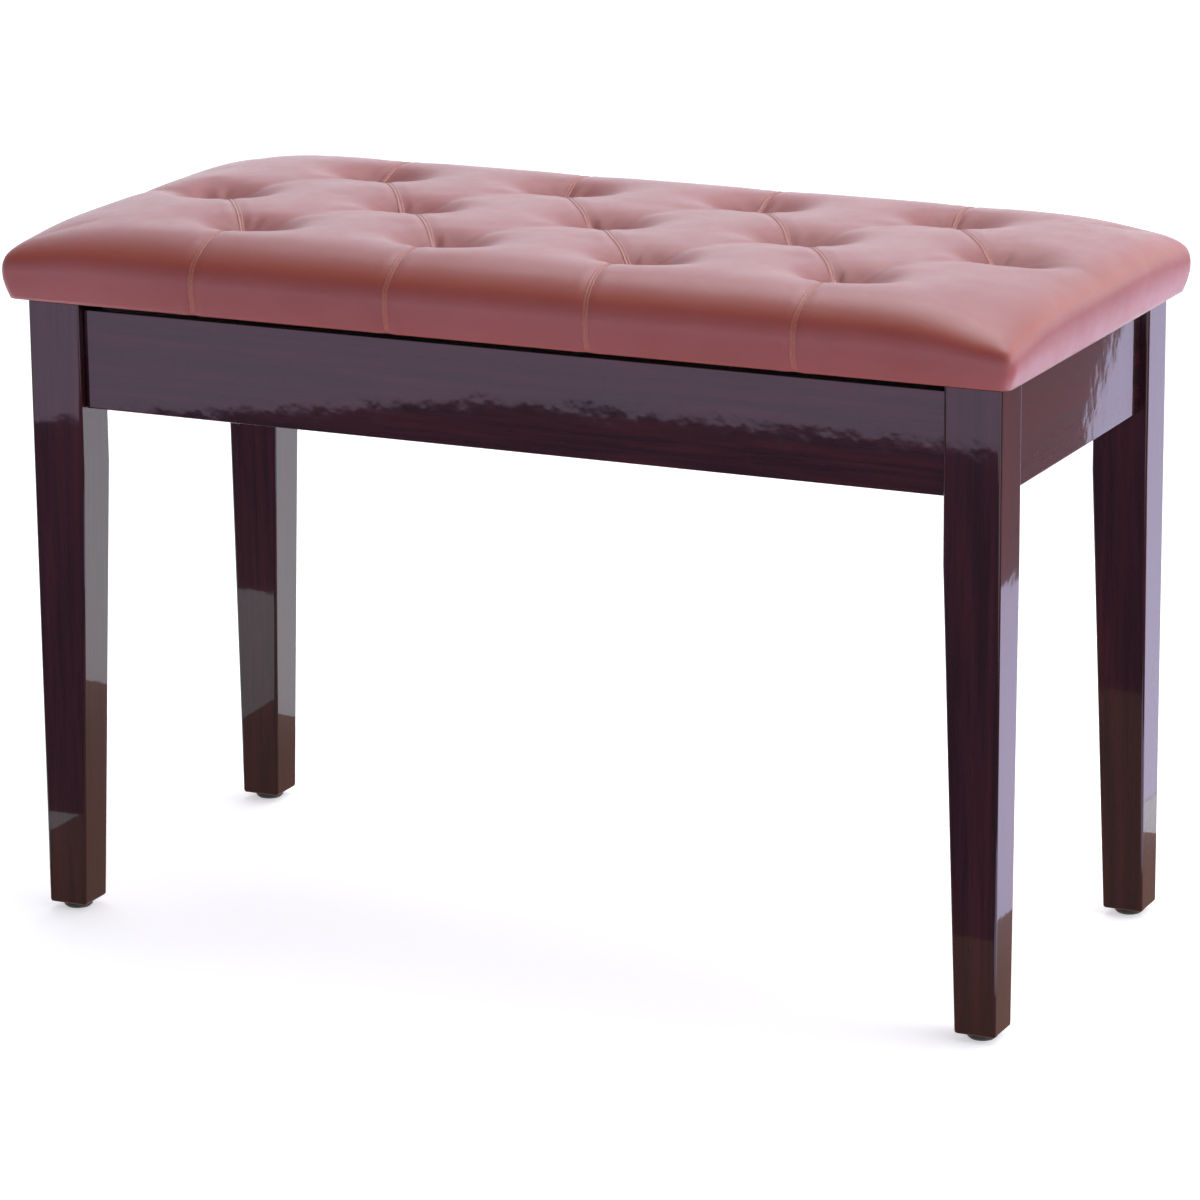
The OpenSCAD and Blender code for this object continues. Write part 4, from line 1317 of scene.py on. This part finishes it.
    def lips(self, routes: list[list[tuple[Vector, Vector]]]) -> None:
        """Builds the seams' two raised lips as one piece. Their profile is in millimetres, across and up.

        Args:
            routes: Each seam's points with their normals.
        """
        profile = [(-2.9, -0.5), (-1.9, 0.25), (-1.1, 0.55), (-0.45, 0.35), (0.0, 0.10),
                   (0.45, 0.35), (1.1, 0.55), (1.9, 0.25), (2.9, -0.5), (0.0, -0.9)]
        points: list[Vector] = []
        faces: list[list[int]] = []
        count = len(profile)
        for route in routes:
            start = len(points)
            smooth = self.evened(route)
            for i, (place, normal) in enumerate(smooth):
                ahead = smooth[min(i + 1, len(smooth) - 1)][0] - smooth[max(i - 1, 0)][0]
                across = ahead.cross(normal).normalized()
                points += [place + across * (w * MM) + normal * (h * MM) for w, h in profile]
            end = start + (len(smooth) - 1) * count
            for base in range(start, end, count):
                faces += [[base + k, base + (k + 1) % count, base + count + (k + 1) % count, base + count + k]
                          for k in range(count)]
            faces += [[base + k for k in range(count)] for base in (start, end)]
        # painted highlight: the lips take the lighter copy of the leather
        piece = mesh_piece("seat_seams", points, faces, self.palette.lit_seam_leather)
        # painted sheen: the orange sheen laid evenly over the lips at 0.55
        keep_numbers(piece.data, "bend", np.full(len(points), 0.55))
        tie(piece, "lid", "seat_leather")

    def evened(self, route: list[tuple[Vector, Vector]]) -> list[tuple[Vector, Vector]]:
        """Evens a route's places and normals over a few points, so that a strip laid on it doesn't twist.

        Args:
            route: Points with their normals.

        Returns:
            The evened points and normals.
        """
        even = []
        for i in range(len(route)):
            places = [place for place, _ in route[max(0, i - 1): i + 2]]
            normals = [normal for _, normal in route[max(0, i - 4): i + 5]]
            even.append((sum(places, Vector()) / len(places), sum(normals, Vector()).normalized()))
        return even

    def stitches(self, routes: list[list[tuple[Vector, Vector]]]) -> None:
        """Sews a row of stitches along each lip of every seam.

        Args:
            routes: Each seam's points with their normals.
        """
        row = Row("seam_stitches", Repeat.STITCH, length=0.0027, radius=0.00028, leg=0.0,
                  material=self.palette.seam_thread)
        for route in routes:
            smooth = self.evened(route)
            for i in range(2, len(smooth) - 2, 3):
                place, normal = smooth[i]
                ahead = (smooth[i + 1][0] - smooth[i - 1][0]).normalized()
                across = ahead.cross(normal).normalized()
                for side in Side:
                    row.add(place + across * (side.value * 1.25 * MM) + normal * (0.52 * MM), ahead, normal)
        tie(row.build(), "lid", "seat_leather")


def distance_to_line(plan: np.ndarray, first: np.ndarray, last: np.ndarray) -> np.ndarray:
    """Distance from points to a straight stretch, seen from above.

    Args:
        plan: Points, as rows of x and y.
        first: One end of the stretch.
        last: Its other end.

    Returns:
        The distances.
    """
    along = last - first
    share = np.clip((plan - first) @ along / float(along @ along), 0.0, 1.0)
    return np.linalg.norm(plan - first - share[:, None] * along, axis=1)


# ---------------------------------------------------------------- dust cover


@dataclass
class DustCover:
    """Black cambric stapled under the seat board."""

    palette: Palette
    thickness: float = 0.0005
    slack: float = 0.0004
    slack_fade: float = 0.030
    air: float = 0.00003
    spacing: float = 0.038
    inset: float = 0.006
    corner_gap: float = 0.024
    cells: tuple[int, int] = (110, 50)

    def build(self) -> None:
        """Builds the cloth and its staples."""
        low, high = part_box("dust_cover")
        nx, ny = self.cells
        x, y = np.meshgrid(np.linspace(low.x, high.x, nx), np.linspace(low.y, high.y, ny), indexing="ij")
        edge = np.minimum.reduce([x - low.x, high.x - x, y - low.y, high.y - y])
        waves = np.sin(x * 41.0 + 2.0 * np.sin(y * 23.0)) * np.cos(y * 37.0 + 1.5 * np.sin(x * 17.0))
        under = low.z + self.air + self.slack * smooth_step(edge / self.slack_fade) * (0.5 + 0.5 * waves)
        points = np.concatenate([np.stack([x, y, under], -1).reshape(-1, 3),
                                 np.stack([x, y, under + self.thickness], -1).reshape(-1, 3)])
        index = np.arange(nx * ny).reshape(nx, ny)
        rim = grid_rim(index)
        faces = grid_faces(index) + grid_faces(index + nx * ny)
        faces += [[i, j, j + nx * ny, i + nx * ny] for i, j in zip(rim, np.roll(rim, -1))]
        piece = mesh_piece("dust_cover_cloth", points, faces, self.palette.cambric)
        tie(piece, "lid", "black_cambric", "dust_cover")
        staples = self.staples(low, high)

    def staples(self, low: Vector, high: Vector) -> bpy.types.Object:
        """Staples all round the cloth's edge.

        Args:
            low: The cloth's lowest corner.
            high: Its highest corner.

        Returns:
            The staples as one piece.
        """
        row = Row("dust_cover_staples", Repeat.STAPLE, length=0.0100, radius=0.00032, leg=0.0010,
                  material=self.palette.staples, wobble=0.12, seed=3)
        z = low.z - 0.00010
        down = Vector((0.0, 0.0, -1.0))
        for axis in (0, 1):
            other = 1 - axis
            length = high[axis] - low[axis] - 2.0 * self.corner_gap
            count = int(length / self.spacing)
            for i in range(count + 1):
                along = low[axis] + self.corner_gap + length * i / count
                for edge in (low[other] + self.inset, high[other] - self.inset):
                    place = Vector((along, edge, z)) if axis == 0 else Vector((edge, along, z))
                    row.add(place, Vector((1, 0, 0)) if axis == 0 else Vector((0, 1, 0)), down)
        piece = row.build()
        tie(piece, "lid", "zinc_steel")
        return piece


# ---------------------------------------------------------------- fittings


@dataclass
class Fittings:
    """The CAD model's own fittings, panels and small parts, each in its finish."""

    palette: Palette

    def build(self) -> None:
        """Dresses every CAD node that shows."""
        p = self.palette
        finishes = (
            (p.glide, "glide_front_left glide_front_right glide_rear_left glide_rear_right"),
            (p.zinc, "glide_nails hanger_bolts bolt_washers wing_nuts stay_stud_left stay_stud_right"),
            (p.zinc, "corner_plate_front_left corner_plate_front_right"),
            (p.zinc, "corner_plate_rear_left corner_plate_rear_right"),
            (p.zinc, "stay_bracket_left stay_bracket_right stay_rivet_left stay_rivet_right"),
            (p.zinc, "stay_arm_left stay_arm_right"),
            (p.brass, "hinge_frame_leaf_left hinge_frame_leaf_right hinge_pin_left hinge_pin_right"),
            (p.brass, "hinge_lid_leaf_left hinge_lid_leaf_right"),
            (p.screws, "corner_screws hinge_frame_screws stay_block_screws hinge_lid_screws"),
            (p.screws, "stay_bracket_screws"),
            (p.panel, "bottom_panel stay_block_left stay_block_right"),
            (p.plywood, "seat_board"),
            (p.felt, "felt_pads seat_foam"),
            (p.twine, "tuft_twines"),
            (p.anchor, "tuft_anchors"),
            (p.leather, "seat_cover"),
            (p.cambric, "dust_cover"),
            (p.lacquer[Grain.UPRIGHT], "leg_front_left leg_front_right leg_rear_left leg_rear_right"),
            (p.lacquer[Grain.ALONG_BENCH], "front_apron rear_apron"),
            (p.lacquer[Grain.FRONT_TO_BACK], "left_apron right_apron"),
        )
        for material, names in finishes:
            for name in names.split():
                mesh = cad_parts[name].data
                mesh.materials.clear()
                mesh.materials.append(material)
                LOG.info("%s in %s", name, material.name)


# ---------------------------------------------------------------- studio


@dataclass(frozen=True)
class Card:
    """A card lying on the floor that shows only as a reflection in glossy faces."""

    name: str
    height: float
    glow: Colour
    corners: tuple[tuple[float, float], ...]

    def build(self) -> None:
        """Lays the card."""
        material = bpy.data.materials.new(self.name)
        material.use_nodes = True
        nodes = Nodes(material.node_tree)
        nodes.tree.nodes.clear()
        light = nodes.add("ShaderNodeEmission", {"Color": self.glow})
        nodes.add("ShaderNodeOutputMaterial", {"Surface": light.outputs[0]})
        corners = [(x, y, self.height) for x, y in self.corners]
        piece = mesh_piece(self.name, corners, [list(range(len(corners)))], material)
        piece.visible_camera = piece.visible_diffuse = piece.visible_shadow = False
        piece.visible_transmission = piece.visible_volume_scatter = False


@dataclass(frozen=True)
class SoftLight:
    """A soft box: a glowing face of a width and a height, at a place and turned to a target."""

    name: str
    place: tuple[float, float, float]
    target: tuple[float, float, float]
    size: tuple[float, float]
    watts: float
    colour: Colour

    def build(self) -> None:
        """Hangs the light."""
        data = bpy.data.lights.new(self.name, "AREA")
        data.shape = "RECTANGLE"
        data.size, data.size_y = self.size
        data.energy = self.watts
        data.color = self.colour
        light = bpy.data.objects.new(self.name, data)
        light.location = self.place
        toward = Vector(self.target) - Vector(self.place)
        light.rotation_euler = toward.to_track_quat("-Z", "Y").to_euler()
        bpy.context.scene.collection.objects.link(light)


@dataclass
class Studio:
    """Plain pale floor, soft lights, cards and the camera."""

    camera_place: tuple[float, float, float] = (1.60792, -3.40416, 1.25625)
    camera_right: tuple[float, float, float] = (0.90530, 0.42468, -0.00884)
    camera_up: tuple[float, float, float] = (-0.10375, 0.24125, 0.96490)
    focal_length: float = 163.13
    sensor: float = 36.0
    floor_half: float = 9.0
    sky: Colour = (0.900, 0.910, 1.0)
    sky_bright_way: tuple[float, float, float] = (0.25, 0.75, 0.0)
    lights: tuple[SoftLight, ...] = (
        SoftLight("overhead", (0.2, 0.5, 2.3), (0.0, 0.1, 0.45), (2.4, 1.6), 26.0, (1.0, 0.97, 1.0)),
        SoftLight("right_window", (2.6, 0.4, 1.3), (0.0, 0.0, 0.40), (1.8, 1.5), 22.0, (0.90, 0.90, 1.0)),
    )
    cards: tuple[Card, ...] = (
        Card("card_under", 0.0030, (0.46, 0.28, 0.22),
             ((-0.46, -0.36), (0.46, -0.36), (0.46, 0.32), (-0.46, 0.32))),
        Card("card_front", 0.0025, (0.22, 0.10, 0.17),
             ((-3.0, -0.36), (1.2, -0.36), (1.2, -1.75), (-0.78, -1.73), (-0.98, -1.60), (-1.3, -1.42),
              (-3.0, -0.9))),
        Card("card_front_far", 0.0020, (1.45, 1.10, 1.55),
             ((-3.0, -0.40), (1.2, -0.40), (1.2, -6.0), (-3.0, -6.0))),
        Card("card_right", 0.0025, (1.53, 1.42, 1.98),
             ((0.46, -0.36), (0.79, -0.36), (0.79, 1.15), (0.86, 1.40), (0.92, 1.55), (1.05, 2.00),
              (1.12, 2.3), (1.12, 3.0), (0.46, 3.0))),
        Card("card_right_far", 0.0020, (0.30, 0.10, 0.08),
             ((0.46, -0.36), (5.0, -0.36), (5.0, 6.0), (0.46, 6.0))),
    )

    def build(self) -> None:
        """Builds the camera, the lights, the world, the cards and the floor."""
        self.camera()
        self.world()
        for prop in self.lights + self.cards:
            prop.build()
        self.floor()

    def camera(self) -> None:
        """Sets the camera where the bench shows its front and its right end."""
        data = bpy.data.cameras.new("camera")
        data.lens = self.focal_length
        data.sensor_width = self.sensor
        data.sensor_fit = "HORIZONTAL"
        data.clip_end = 60.0
        camera = bpy.data.objects.new("camera", data)
        right, up = Vector(self.camera_right).normalized(), Vector(self.camera_up).normalized()
        back = right.cross(up)
        turn = Matrix((right, up, back)).transposed().to_4x4()
        camera.matrix_world = Matrix.Translation(self.camera_place) @ turn
        bpy.context.scene.collection.objects.link(camera)
        bpy.context.scene.camera = camera

    def world(self) -> None:
        """Sets a pale light all round, brighter from the rear, and plain colours without a film curve."""
        world = bpy.data.worlds.new("studio")
        bpy.context.scene.world = world
        world.use_nodes = True
        nodes = Nodes(world.node_tree)
        place = nodes.add("ShaderNodeTexCoord").outputs["Generated"]
        toward = nodes.add("ShaderNodeVectorMath", {0: place, 1: self.sky_bright_way},
                           operation="DOT_PRODUCT")
        light = nodes.tree.nodes["Background"]
        nodes.feed(light.inputs["Color"], self.sky)
        nodes.feed(light.inputs["Strength"], nodes.remap(toward.outputs["Value"], -0.45, 0.8, 0.15, 1.4))
        backdrop = nodes.add("ShaderNodeBackground", {"Color": (1.0, 1.0, 1.0)})
        seen = nodes.add("ShaderNodeLightPath").outputs["Is Camera Ray"]
        either = nodes.add("ShaderNodeMixShader", {0: seen, 1: light.outputs[0], 2: backdrop.outputs[0]})
        nodes.feed(nodes.tree.nodes["World Output"].inputs["Surface"], either.outputs[0])
        bpy.context.scene.view_settings.view_transform = "Standard"

    def floor(self) -> None:
        """Lays the floor, just under the glides."""
        h = self.floor_half
        corners = [(-h, -h, 0.0), (h, -h, 0.0), (h, h, 0.0), (-h, h, 0.0)]
        mesh_piece("floor", corners, [[0, 1, 2, 3]], PaleFloor().material())


def main() -> None:
    """Builds the studio and then the bench, in order."""
    logging.basicConfig(level=logging.INFO, format="%(name)s: %(message)s")
    Studio().build()
    palette = Palette()
    Fittings(palette).build()
    LacqueredFrame(palette).build()
    Cushion(palette).build()
    DustCover(palette).build()


if __name__ == "__main__":
    main()
